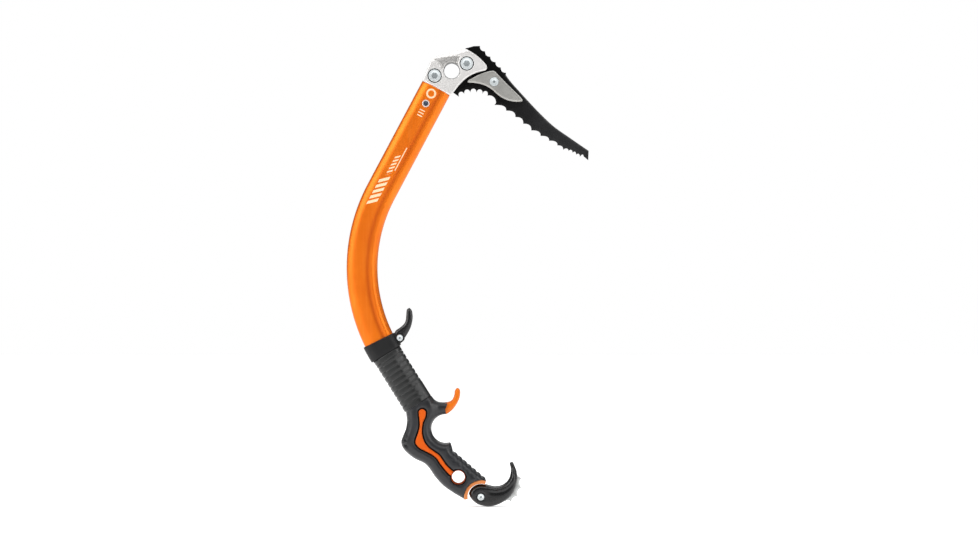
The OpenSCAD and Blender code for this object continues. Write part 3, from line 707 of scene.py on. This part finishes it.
seats = [(circle(c, r), True) for c in (FRONT_BOLT, REAR_BOLT) for r in (SEAT_IN, SEAT_OUT, SEAT_BEVEL)]
shape = relief(head_outline, head_face, holes=[circle(EYE, EYE_R)],
               lines=seats + [(circle(EYE, EYE_BEVEL), True)],
               rings=(0.1, 0.35, 0.75, 1.2, 1.6), step=0.7, grid=0.8)
piece("head_forging", shape, "axe", forged, ["head"], also=[
    (scoop_shade_aluminium, lambda c: inside(scoop, plan(c)) & (distance([(scoop, True)], plan(c)) > 0.35)),
    (seat_shade, lambda c: np.minimum(away(plan(c), FRONT_BOLT), away(plan(c), REAR_BOLT)) < 7.74),
    (scoop_shade_aluminium, lambda c: away(plan(c), EYE) < 9.3),
    (eye_bore_shade, lambda c: away(plan(c), EYE) < 9.0)])

# -------- pick and weights

top_teeth = [V(30.5, 27.3) + (V(58.8, -1.8) - V(30.5, 27.3)) * i / 5 for i in range(6)]
pick_back = smooth([[58.8, -4.4], [65, -12.7], [80, -29.3], [95, -45.2], [110, -59.4], [125, -70.2],
                    [148.4, -86.3]])
beak_teeth = [[142.9, -92.2], [139, -92.9], [135, -90.7], [131, -88.5], [126.8, -86.5], [120.8, -85.4]]
main_teeth = [[120.8, -85.4], [114.6, -80.5], [105.5, -75.4], [96.3, -70.2], [86.2, -64.2], [77.5, -57],
              [69, -49.8], [59, -42.8], [46.4, -36.6]]
small_teeth = [[38.7, -26.6], [33.2, -24.6], [26.8, -23.1], [20.2, -23.1], [13.8, -24.9], [8, -27.8]]
back_teeth = hollows(top_teeth, 1)
under_teeth = (fangs(beak_teeth, V(0.9, 2.9)) + hollows(main_teeth, 1.15)
               + bend3([47.9, -34.6], [48.4, -29], [43.6, -25.1], [38.7, -26.6]) + notches(small_teeth, 5.6))
tang = [V(2, -23.6), V(-9, -17.5), V(-20, -14), V(-26, -8), V(-25, -1), V(-21.5, 5), V(-17, 11), V(0, 17.4)]
pick_outline = [V(13, 24.1), V(24, 27.1)] + back_teeth + pick_back + [V(148, -96.6)] + under_teeth + tang


def pick_face(p, d):
    """A flat plate that thins towards its teeth."""
    cut = distance([(resample(under_teeth, 0.8, False), False), (resample(back_teeth, 0.8, False), False)], p)
    h = 2.0 - dome(d, 0.35, 0.35)
    return np.maximum(np.minimum(h, 1.35 + 0.26 * cut), 0.7)


shape = relief(pick_outline, pick_face, holes=[circle(EYE, EYE_R + 0.8, 36)],
               rings=(0.12, 0.4, 1.2, 2.5), step=0.8, grid=1.6)
# A lighter strip along the pick's back edge: partly painted highlight of its bevel, partly rubbed bare steel.
back_edge_highlight = np.exp(-distance([(pick_back, False)], plan(shape[0])) / 0.5)
piece("pick_plate", shape[:2] + (back_edge_highlight,), "axe", black_steel, ["pick"])

weight_outline = (
    bend3([18.2, -10], [28, -4], [36, -0.6], [43.8, 0.3]) + bend2([43.8, 0.3], [46.4, 0.5], [48, -1.5])
    + bend3([48, -1.5], [57, -11.4], [66, -19.6], [75.6, -29.4])
    + bend2([75.6, -29.4], [78.8, -33], [73.5, -33.4])
    + bend3([73.5, -33.4], [58.5, -34], [51, -27], [44.6, -21])
    + bend3([44.6, -21], [36.5, -14.2], [28, -12.8], [18.2, -12.6])
    + bend2([18.2, -12.6], [15.8, -12.2], [18.2, -10])
)


WEIGHT_SEAT_FLOOR, WEIGHT_BEVEL = 4.5, 5.7


def weight_face(p, d):
    h = WEIGHT_Y - dome(d, 1.7, 1.2)
    rr = away(p, WEIGHT_HOLE)
    h = np.minimum(h, WEIGHT_Y - np.clip(WEIGHT_BEVEL - rr, 0, 0.5))
    return np.where(rr < 5.16, WEIGHT_SEAT_FLOOR, h)


def weight_back(p, d):
    """The face that lies on the pick, just clear of it."""
    return np.full(len(p), -2.06)


lines = [(circle(WEIGHT_HOLE, r, 45), True) for r in (5.13, 5.18, WEIGHT_BEVEL)]
for name, faces in (("left", (weight_face, weight_back)), ("right", (weight_back, weight_face))):
    shape = relief(weight_outline, *faces, lines=lines,
                   rings=(0.1, 0.4, 0.8, 1.3, 1.8), step=0.7, grid=1.3)
    piece(name + "_pick_weight_plate", shape, "axe", grey_steel, [name + "_pick_weight"])

# -------- fasteners


def socket_head(name, c, r, face, back, socket, depth, body, node, form="h", sign=-1):
    """A screw head of radius r whose outside is at y = sign * face and whose inside is at sign * back, with a
    socket of the given form, radius and depth."""
    rings = [("o", r * 0.5, back), ("o", r, back), ("o", r, face - 0.5), ("o", r - 0.12, face - 0.22),
             ("o", r - 0.4, face), ("o", socket + 1.1, face), ("o", socket + 0.7, face - 0.12),
             (form, socket, face - 0.3), (form, socket, face - depth),
             ("o", socket * 0.35, face - depth - 0.35)]
    shape = turned(c, [(k, a, sign * y) for k, a, y in rings])
    inner = lambda q: (away(plan(q), c) < socket * 1.02) & (abs(q[:, 1]) < face - 0.2)
    piece(name, shape, body, bright_steel, [node], sharp=32, also=[(dark_steel, inner)])


for place, c in (("front", FRONT_BOLT), ("rear", REAR_BOLT)):
    socket_head(place + "_bolt_head", c, 6.75, 9.7, 5.6, 3.6, 1.8, "axe", place + "_pick_bolt", form="*")
    socket_head(place + "_nut_head", c, 6.75, 9.7, 5.6, 4.1, 1.4, "axe", place + "_pick_nut", sign=1)
socket_head("weight_screw_head", WEIGHT_HOLE, 4.9, 7.12, 4.6, 1.6, 1.2, "axe", "weight_screw", form="*")
socket_head("weight_nut_head", WEIGHT_HOLE, 4.8, 7.12, 4.6, 1.7, 1.2, "axe", "weight_nut", sign=1)
socket_head("rest_screw_head", REST, 3.7, 11.45, 9.2, 1.2, 1.3, "hand_rest", "rest_screw")
socket_head("rest_nut_head", REST, 3.6, 11.45, 9.2, 1.5, 1.2, "hand_rest", "rest_nut", sign=1)
socket_head("finger_screw_head", FINGER, 3.4, 9.25, 7.17, 1.15, 1.3, "finger_rest", "finger_screw")

collar_rings = [(2.0, 9.6), (3.9, 9.6), (4.1, 10.3), (4.05, 10.8), (3.7, 11.15), (3.1, 11.3), (2.75, 11.1),
                (2.6, 10.4), (1.2, 10.2)]
core_rings = [(1.0, 10.0), (2.5, 10.3), (2.55, 10.75), (2.2, 10.9), (1.5, 10.7), (0.8, 10.55)]
for sign, tag in ((-1, "near"), (1, "far")):
    shape = turned(RIVET, [("o", a, sign * y) for a, y in collar_rings])
    piece("rivet_collar_" + tag, shape, "axe", pale_rivet, ["head_rivet"], sharp=50)
    shape = turned(RIVET, [("o", a, sign * y) for a, y in core_rings])
    piece("rivet_core_" + tag, shape, "axe", blue_rivet, sharp=50)

# -------- shaft

profile = smooth([[-16.75, 0], [-16.3, 3.4], [-14.9, 6.1], [-12.6, 7.8], [-10.0, 9.2], [-7.2, 10.0],
                  [-3, 10.3], [2, 10.2], [4.6, 9.95], [6.5, 9.7], [8.3, 9.82], [9.8, 10.0], [11.4, 9.7],
                  [13.4, 8.3], [15.3, 5.7], [16.4, 2.8], [16.75, 0]], 5)
CREASE_AT, CREASE_SHADE_REACH, RIM_SHADE_REACH = 6.0, 2.4, 0.7  # where painted shade darkens the tube, across its width: in its groove and along both rims
section = [(q[0], q[1]) for q in profile] + [(q[0], -q[1]) for q in profile[-2:0:-1]]


def station(p, side, scale=1.0):
    """The tube's section at the place p, with its width along side."""
    return [(p[0] + u * scale * side[0], y * scale, p[1] + u * scale * side[1]) for u, y in section]


rings = [station(shaft_top - s * top_dir, top_side, k) for s, k in ((0.0, 0.965), (0.15, 0.985), (0.6, 1.0))]
rings += [station(shaft_top - s * top_dir, top_side) for s in np.linspace(3, TOP_L, 26)]
rings += [station(bow_c + BOW_R * polar(a), -polar(a)) for a in np.linspace(A0 + 1, A1, 60)]
rings += [station(grip_top + s * grip_dir, grip_side, k) for s, k in ((1.0, 1.0), (3.0, 0.96))]
# Painted shade across the tube: a band in its groove and one along each rim.
painted_shade = [math.exp(-((u - CREASE_AT) / CREASE_SHADE_REACH) ** 2)
          + math.exp(-((SHAFT_W / 2 - abs(u)) / RIM_SHADE_REACH) ** 2) for u, y in section]
shape = grid_solid(rings) + (np.array(painted_shade * len(rings) + [0.0, 0.0]),)
# The tube's end next to the sleeve takes painted shade, so the gap under the strap looks dark.
piece("shaft_tube_skin", shape, "axe", orange_tube, ["shaft_tube"], sharp=50,
      also=[(rubber_groove_shade, lambda c: (plan(c) - grip_top) @ grip_dir > -2.0)])

# -------- grip sleeve

RIB_PITCH, RIB_H = 6.1, 0.7
sleeve_back = [[-15.83, 0], [-15.5, 3.6], [-13.9, 8.0], [-10.6, 11.3], [-7.4, 12.1], [-2, 12.3], [3.0, 12.25]]
slim = smooth(sleeve_back + [[5.2, 11.7], [8.6, 9.8], [12.2, 7.7], [14.6, 5.4], [15.6, 2.8], [15.83, 0]], 5)
full = smooth(sleeve_back + [[5.2, 12.1], [8.6, 11.9], [12.2, 10.4], [14.6, 7.4], [15.6, 3.4], [15.83, 0]], 5)
rings = []
for s in np.linspace(0.1, SLEEVE_L - 0.05, 230):
    fade = min(ramp(s, 5.2, 6.2), 1 - ramp(s, SLEEVE_L - 6.4, SLEEVE_L - 5.6))
    wave = 0.5 - 0.5 * math.cos(2 * math.pi * (s - 3) / RIB_PITCH)
    rib = (1 - (1 - wave) ** 5) * fade * RIB_H
    last = ramp(s, SLEEVE_L - 6.2, SLEEVE_L - 5.2)
    # The plain bands at both ends, with their edges rounded off.
    end = 0.75 * (1 - ramp(s, 4.6, 5.6)) + 0.95 * last
    end -= 0.5 * (1 - ramp(s, 0.1, 0.8)) + 0.5 * ramp(s, SLEEVE_L - 0.8, SLEEVE_L)
    flange = ramp(s, 43.5, 45) * (1 - last)
    ring = []
    # The section is full next to the strap and slim further down.
    k = ramp(s, 1.0, 12.0)
    half = [(q[0] * (1 - k) + w[0] * k, q[1] * (1 - k) + w[1] * k) for q, w in zip(full, slim)]
    for u, y in half + [(u, -y) for u, y in half[-2:0:-1]]:
        a = max(0.0, min(1.0, (u - 4.5) / 3.0))
        g = rib * (1 - a * flange) + end + 0.9 * a * flange
        n = math.hypot(u, y * 1.3)
        ring.append((u + g * u / n * 1.05, y + g * y * 1.3 / n * 0.9))
    p = grip_top + s * grip_dir
    rings.append([(p[0] + u * grip_side[0], y, p[1] + u * grip_side[1]) for u, y in ring])
shape = grid_solid(rings)
piece("grip_sleeve_ribbed", shape, "axe", ribbed_rubber, ["grip_sleeve"], sharp=60)

# -------- finger rest

STRAP_T, RUN = 1.7, 0.3             # the strap's thickness and its clearance round the tube
STRAP_A0, STRAP_A1 = 206.37, 211.9  # its edges, as angles about bow_c


def soft_rect(w, t, r, n=9):
    """A rounded rectangle as a closed loop of (side, y)."""
    u, v = w / 2 - r, t / 2 - r
    turns = [(cx, cy, math.radians(a + 90 * i / n))
             for cx, cy, a in ((u, v, 0), (-u, v, 90), (-u, -v, 180), (u, -v, 270)) for i in range(n + 1)]
    return [(cx + r * math.cos(a), cy + r * math.sin(a)) for cx, cy, a in turns]


inner = soft_rect(SHAFT_W + 2 * RUN, SHAFT_T + 2 * RUN, 9.3)
outer = soft_rect(SHAFT_W + 2 * RUN + 2 * STRAP_T, SHAFT_T + 2 * RUN + 2 * STRAP_T, 11.0)
# Stations over the strap: an angle, and the share of the way from the inner loop to the outer one.
stations = [(STRAP_A0, 0.0), (STRAP_A0, 0.6), (STRAP_A0 + 0.14, 0.88), (STRAP_A0 + 0.4, 1.0)]
stations += [(STRAP_A0 + 0.4 + (STRAP_A1 - STRAP_A0 - 0.8) * i / 6, 1.0) for i in range(1, 6)]
stations += [(STRAP_A1 - 0.4, 1.0), (STRAP_A1 - 0.14, 0.88), (STRAP_A1, 0.6), (STRAP_A1, 0.0)]
rings = []
for a, k in stations:
    c, side = bow_c + BOW_R * polar(a), -polar(a)
    ring = []
    for (ui, yi), (uo, yo) in zip(inner, outer):
        u, y = ui + (uo - ui) * k, yi + (yo - yi) * k
        ring.append((c[0] + u * side[0], y, c[1] + u * side[1]))
    rings.append(ring)
shape = grid_solid(rings, wrap=True)
piece("finger_strap_band", shape, "finger_rest", matt_plastic, ["finger_strap"], sharp=45)

foot = on_circle(bow_c, BOW_R - SHAFT_W / 2 - RUN, 211.6, 207.0, 10)
lug_outline = (on_circle(bow_c, BOW_R - SHAFT_W / 2 + 2.2, 211.5, 206.8, 6)
               + on_circle(FINGER, 5.2, 60, -60, 14))
lug_out = lambda p, d: 7.15 - dome(d, 1.2, 0.9)
lug_in = lambda p, d: np.full(len(p), -4.55)
for tag, faces in (("near", (lug_out, lug_in)), ("far", (lug_in, lug_out))):
    shape = relief(lug_outline, *faces, rings=(0.1, 0.4, 0.8, 1.3), step=0.6, grid=1.0)
    piece("finger_lug_" + tag, shape, "finger_rest", matt_plastic)
hook_outline = (
    smooth([[-60.6, -281], [-55.4, -277.4], [-51.6, -273.8], [-49.8, -269.6], [-49.2, -263], [-48.6, -258.6],
            [-46, -256.5]])
    + smooth([[-46, -256.5], [-43.4, -259.4], [-42.4, -265], [-42.7, -270.6], [-44.6, -278], [-48.4, -285.4],
              [-52.4, -291.4]])[1:]
    + foot
)


def hook_face(p, d):
    h = 4.5 - 0.9 * ramp(p[:, 1], -280, -258)
    return h - 0.6 * np.clip(2.7 - d, 0, 1.6) - dome(d, 1.1, 1.5)


shape = relief(hook_outline, hook_face, rings=(0.08, 0.3, 0.7, 1.1, 1.9, 2.7), step=0.6, grid=0.9, soften=2)
piece("finger_hook_body", shape, "finger_rest", black_plastic, ["finger_hook"], sharp=50)
shape = turned(FINGER, [("o", 1.0, 7.2), ("h", 3.15, 7.2), ("h", 3.2, 8.9), ("o", 2.9, 9.25),
                        ("o", 1.6, 9.25), ("o", 1.5, 8.8), ("o", 0.6, 8.8)])
piece("finger_nut_hex", shape, "finger_rest", bright_steel, ["finger_nut"], sharp=30)

# -------- handle

ridge_from, ridge_to, ridges = V(36.6, -442.6), V(1.4, -412.2), 7
ridged = []
for i in range(ridges):
    a = ridge_from + (ridge_to - ridge_from) * i / ridges
    b = ridge_from + (ridge_to - ridge_from) * (i + 1) / ridges
    n = unit(V(a[1] - b[1], b[0] - a[0])) * -1.15
    ridged += bend3(a, a + (b - a) * 0.05 + n * 1.35, b - (b - a) * 0.3 + n * 1.25, b, 8)[:-1]
join = [on_grip(SLEEVE_L, 16.9), on_grip(SLEEVE_L, -15.4)]  # where the handle meets the sleeve
back_edge = smooth([
    join[1], [-49, -374], [-48.5, -380], [-49.8, -388], [-52.6, -395], [-54.7, -401.5], [-53.4, -407.5],
    [-48.4, -413.6], [-40, -420], [-30, -424.8], [-24.4, -430.2], [-18.4, -439], [-10, -448.4], [0, -455.8],
    [13.4, -463.8]])
seat = on_circle(REST, SHIM_R + SHIM_W, 187.8, 72, 30)
finger = on_circle(NOTCH, NOTCH_R, -74, -272, 56)
front_edge = (ridged + [ridge_to] + smooth([ridge_to, [0.4, -408], [-1.2, -403.2], [-2.2, -402.4]])
              + finger)
hook_border = [V(-5.9, -371.9), V(-7, -366.6), V(-5.2, -362.5), V(-4.6, -358.7)]
hook_top = smooth([[-4.6, -358.7], [-10, -359], [-15, -358.2], [-19, -355.8], [-21.5, -352.6]])
handle_outline = back_edge + seat + front_edge + hook_border[1:] + hook_top[1:] + join[:1]
# The faces are rounded towards these edges only, not towards the sleeve, the shim or the hook's tip.
rim = [(back_edge, False), (front_edge, False), (hook_top, False)]
stripe = (
    on_circle(V(-31.7, -370), 4.3, 180, 0, 16)
    + smooth([[-27.4, -370], [-28.2, -375], [-30.6, -380.4], [-31.6, -386], [-31.8, -391], [-31, -396],
              [-28.8, -402], [-24.6, -407.4], [-19, -411.6], [-13.4, -415.6], [-9.4, -421], [-5.6, -426.4],
              [-1, -431], [2.2, -433.4]])[1:]
    + smooth([[-0.6, -438.4], [-3.4, -436.6], [-8.4, -430.8], [-12.6, -425.4], [-16.4, -419.8],
              [-21.4, -415.6], [-28, -412.2], [-35, -408.4], [-39.2, -403.6], [-39.2, -399], [-37, -392.6],
              [-35.2, -386], [-35, -380], [-35.6, -375], [-36, -370]])[:-1]
)


def handle_face(p, d):
    """Thinner on the middle hook and towards the sleeve, grooved for the stripe and bevelled at the hole."""
    full = HANDLE_Y - 5.2 * (ramp(p[:, 0], -25, -12) * ramp(p[:, 1], -380, -371))
    full = full - 0.55 * (1 - ramp(distance([(join, False)], p), 0, 9))
    h = swell(full, 2.2, d, 8.0 - 2.5 * ramp(p[:, 0], -22, -12) * ramp(p[:, 1], -376, -370))
    ds = distance([(groove, True)], p)
    h = np.where(inside(groove, p), h - 1.9 * ramp(ds, -0.15, 0.8), h - 0.3 * (1 - ramp(ds, 0, 1.0)))
    h = h - np.clip(10.2 - away(p, HOLE), 0, 1.6) * 0.6
    return h - 0.8 * (1 - ramp(away(p, REST) - (SHIM_R + SHIM_W), 0, 1.2))


groove = inset(stripe, -1.3)
shape = relief(handle_outline, handle_face, holes=[circle(HOLE, HOLE_R + 1.0)],
               lines=[(groove, True), (stripe, True)], rims=rim,
               rings=(0.06, 0.25, 0.55, 1.0, 1.6, 2.4, 3.4, 4.6, 6.0, 7.6), step=0.8, grid=1.3, soften=2)
# Painted shade in the stripe's groove and on the hole's bevel.
piece("handle_rubber", shape, "axe", rubber, ["handle_overmould"], sharp=60,
      also=[(rubber_groove_shade, lambda c: (inside(groove, plan(c)) | (away(plan(c), HOLE) < HOLE_R + 1.9))
             & (abs(c[:, 1]) > 6))])

shape = relief(inset(stripe, 0.4), lambda p, d: 12.75 - dome(d, 1.5, 1.1), rings=(0.08, 0.3, 0.7, 1.2),
               step=0.6, grid=0.9)
piece("core_stripe", shape, "axe", orange_plastic, ["handle_core"], sharp=45)
ring_profile = [(0.25, 12.6), (0, 12.3), (0, 0.0), (0, -12.3), (0.25, -12.6),
                (0.5, -12.6), (0.75, -12.3), (1.02, 0.0), (0.75, 12.3), (0.5, 12.6)]
turns = np.linspace(0, 2 * math.pi, 96, endpoint=False)
shape = grid_solid([[(HOLE[0] + (HOLE_R + r) * math.cos(a), y, HOLE[1] + (HOLE_R + r) * math.sin(a))
                     for a in turns] for r, y in ring_profile], wrap=True)
piece("core_hole_ring", shape, "axe", shaded_orange_plastic, sharp=40)

tip_rim = smooth([[-4.6, -358.7], [0, -356.7], [2.6, -351.6], [3.5, -346.2], [6.2, -343.4], [8.9, -346.0],
                  [8.8, -352.6], [6.4, -359], [2.4, -365.2], [-2.2, -369.6], [-5.9, -371.9]])
tip_outline = tip_rim + [V(-9.5, -368), V(-8.5, -361)]
tip_face = lambda p, d: swell(6.5 - 1.7 * ramp(p[:, 1], -366, -346), 1.6, d, 3.0, share=0.85)
shape = relief(tip_outline, tip_face, rims=[(tip_rim, False)], rings=(0.06, 0.25, 0.6, 1.1, 1.8, 2.6),
               step=0.6, grid=0.8, soften=5)
piece("middle_hook_tip", shape, "axe", tip_plastic, sharp=60)

shim = on_circle(REST, SHIM_R, 189, 72, 40) + on_circle(REST, SHIM_R + SHIM_W, 72, 189, 44)
shape = relief(shim, lambda p, d: 12.0 - dome(d, 1.1, 0.9), rings=(0.1, 0.4, 0.8, 1.2), step=0.7, grid=0.9)
piece("rest_shim_crescent", shape, "axe", pale_orange, ["rest_shim"], sharp=40)

# -------- hand rest

rest_outline = (
    on_circle(REST, SEAT_R, 165, 74, 30)
    + smooth([[37.8, -447.9], [42, -449.2], [48, -450], [54, -448.9], [59, -445.7], [62.6, -440.6],
              [64, -434], [63.7, -429.2], [62.8, -425.7], [64.2, -423.8], [66.4, -424.2], [68.2, -428],
              [70.2, -433.6], [71, -440], [70.2, -447.4], [67.6, -454.8], [63, -461.4], [56, -466.8],
              [48, -470.4], [40, -471.9], [32, -470.6], [27, -468.6], [22.6, -465], [19.8, -461.4]], 6)[:-1]
)
palm = smooth([[34, -448.3], [37.8, -448.4], [42, -449.4], [48, -450.2], [54, -449.1], [59, -445.9],
               [62.4, -440.8], [63.8, -434]])
REST_SEAT_FLOOR, REST_BEVEL = 9.3, 5.0


def rest_face(p, d):
    full = REST_Y - 4.5 * ramp(p[:, 1], -446, -424)
    h = swell(full, 2.4, d, 4.6, power=2.2, share=0.8)
    # A shallow channel that sets off the palm flange.
    dp = distance([(palm, False)], p)
    h -= 0.9 * np.exp(-((dp - 6.4) / 1.2) ** 2) * ramp(p[:, 0], 38, 46) * (1 - ramp(p[:, 1], -442, -432))
    rr = away(p, REST)
    return np.where(rr < 4.42, REST_SEAT_FLOOR, np.minimum(h, full - np.clip(REST_BEVEL - rr, 0, 0.5)))


shape = relief(rest_outline, rest_face, lines=[(circle(REST, r, 45), True) for r in (4.4, 4.45, REST_BEVEL)],
               rings=(0.06, 0.25, 0.6, 1.1, 1.8, 2.7, 3.7, 4.8), step=0.8, grid=1.1, soften=2)
piece("hand_rest_body", shape, "hand_rest", black_plastic, ["hand_rest"], sharp=60)

tips = [V(70.6, -432.4), V(75.6, -441), V(75.6, -451.6), V(71.3, -460.6), V(64.4, -468), V(58.4, -466.2)]
outer_edge = []
for a, b in zip(tips, tips[1:]):
    n = unit(V(a[1] - b[1], b[0] - a[0]))
    outer_edge += bend2(a, (a + b) / 2 - 4.4 * n, b, 8)
spike_outline = outer_edge + [V(50, -465), V(46, -456.4), V(56, -455.4), V(62.6, -448.6), V(66.4, -440)]


def spike_face(p, d):
    """A plate that is ground thinner towards its teeth."""
    return 1.8 - dome(d, 0.5, 0.4) - 0.9 * (1 - ramp(distance([(outer_edge, False)], p), 0, 2.0))


shape = relief(spike_outline, spike_face, rings=(0.1, 0.5, 1.2, 2.1), step=0.6, grid=1.0)
piece("spike_plate_steel", shape, "hand_rest", spike_steel, ["spike_plate"], sharp=35)

# The cross pin is hidden in the grip, so it keeps its CAD shape.
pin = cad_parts["handle_pin"].data
pin.materials.clear()
pin.materials.append(bright_steel)

# -------- stage, light and camera

FLOOR_GAP, FLOOR_R = 0.0004, 9.0
floor_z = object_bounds()[0][2] - FLOOR_GAP
bm = bmesh.new()
bmesh.ops.create_circle(bm, cap_ends=True, segments=96, radius=FLOOR_R)
me = bpy.data.meshes.new("floor")
bm.to_mesh(me)
bm.free()
floor = bpy.data.objects.new("floor", me)
floor.location = (0, 0, floor_z)
bpy.context.scene.collection.objects.link(floor)
m = Nodes(bpy.data.materials.new("pale_floor"))
me.materials.append(m.set(
    Base_Color=m.mix(m.spread(m.noise(3, 3), 0.0, 1.0), srgb(246, 246, 246), srgb(250, 250, 250)),
    Roughness=m.spread(m.noise(60, 2), 0.85, 0.95), Specular_IOR_Level=0.1,
    Emission_Color=(1.0, 1.0, 1.0, 1.0), Emission_Strength=0.5))

world = bpy.data.worlds.new("studio")
bpy.context.scene.world = world
sky = Nodes(world)
sep = sky.new("ShaderNodeSeparateXYZ")
sky.link(sky.coord.node.outputs["Generated"], sep.inputs[0])


def step(value, a, b, lo, hi):
    return sky.spread(value, lo, hi, a, b, interpolation_type="SMOOTHSTEP")


# Two tall strip lights at the sides and a weak ceiling, in a dim room that is dark behind the tool.
x_side = sky.math("ABSOLUTE", sep.outputs["X"])
y_way = sep.outputs["Y"]
sides = sky.times(step(x_side, 0.45, 0.8, 0.0, 0.45), step(y_way, 0.0, 0.3, 1.0, 0.2))
strips = sky.times(step(x_side, 0.5, 0.75, 0.0, 4.2),
                   sky.times(step(y_way, -0.62, -0.5, 0.0, 1.0), step(y_way, -0.36, -0.24, 1.0, 0.0)))
ceiling = step(sep.outputs["Z"], 0.3, 0.9, 0.0, 0.5)
level = sky.math("ADD", sky.math("ADD", sides, strips), sky.math("ADD", ceiling, 0.08))
room = sky.tree.nodes["Background"]
room.inputs["Color"].default_value = (1, 1, 1, 1)
sky.link(level, room.inputs["Strength"])
# The camera itself sees plain white.
white = sky.new("ShaderNodeBackground")
white.inputs["Color"].default_value = (1, 1, 1, 1)
path = sky.new("ShaderNodeLightPath")
mixer = sky.new("ShaderNodeMixShader")
sky.link(path.outputs["Is Camera Ray"], mixer.inputs[0])
sky.link(room.outputs[0], mixer.inputs[1])
sky.link(white.outputs[0], mixer.inputs[2])
sky.link(mixer.outputs[0], sky.tree.nodes["World Output"].inputs["Surface"])


def area(name, place, size, power):
    """An area light that looks at the middle of the tool."""
    light = bpy.data.lights.new(name, "AREA")
    light.shape, light.size, light.size_y, light.energy = "RECTANGLE", size[0], size[1], power
    ob = bpy.data.objects.new(name, light)
    ob.location = place
    ob.rotation_euler = (Vector((0.02, 0.0, -0.22)) - Vector(place)).to_track_quat("-Z", "Y").to_euler()
    bpy.context.scene.collection.objects.link(ob)


area("key_light", (-1.6, -1.3, 1.1), (0.9, 1.4), 12)
area("front_light", (0.2, -1.5, 1.9), (2.0, 1.2), 15)
area("back_light", (0.0, 2.2, 1.5), (2.2, 1.2), 14)
area("top_light", (0.0, 0.2, 1.9), (2.0, 2.0), 6)

# A long lens from far off, square on to the tool as in the photograph.
cam_data = bpy.data.cameras.new("camera")
cam_data.sensor_width = 36
cam_data.lens = 161.25
cam_data.clip_end = 60
cam = bpy.data.objects.new("camera", cam_data)
cam.location = (0.0404, -4.75, -0.221)
cam.rotation_euler = (math.radians(90), 0, 0)
bpy.context.scene.collection.objects.link(cam)
bpy.context.scene.camera = cam
bpy.context.scene.view_settings.view_transform = "Standard"
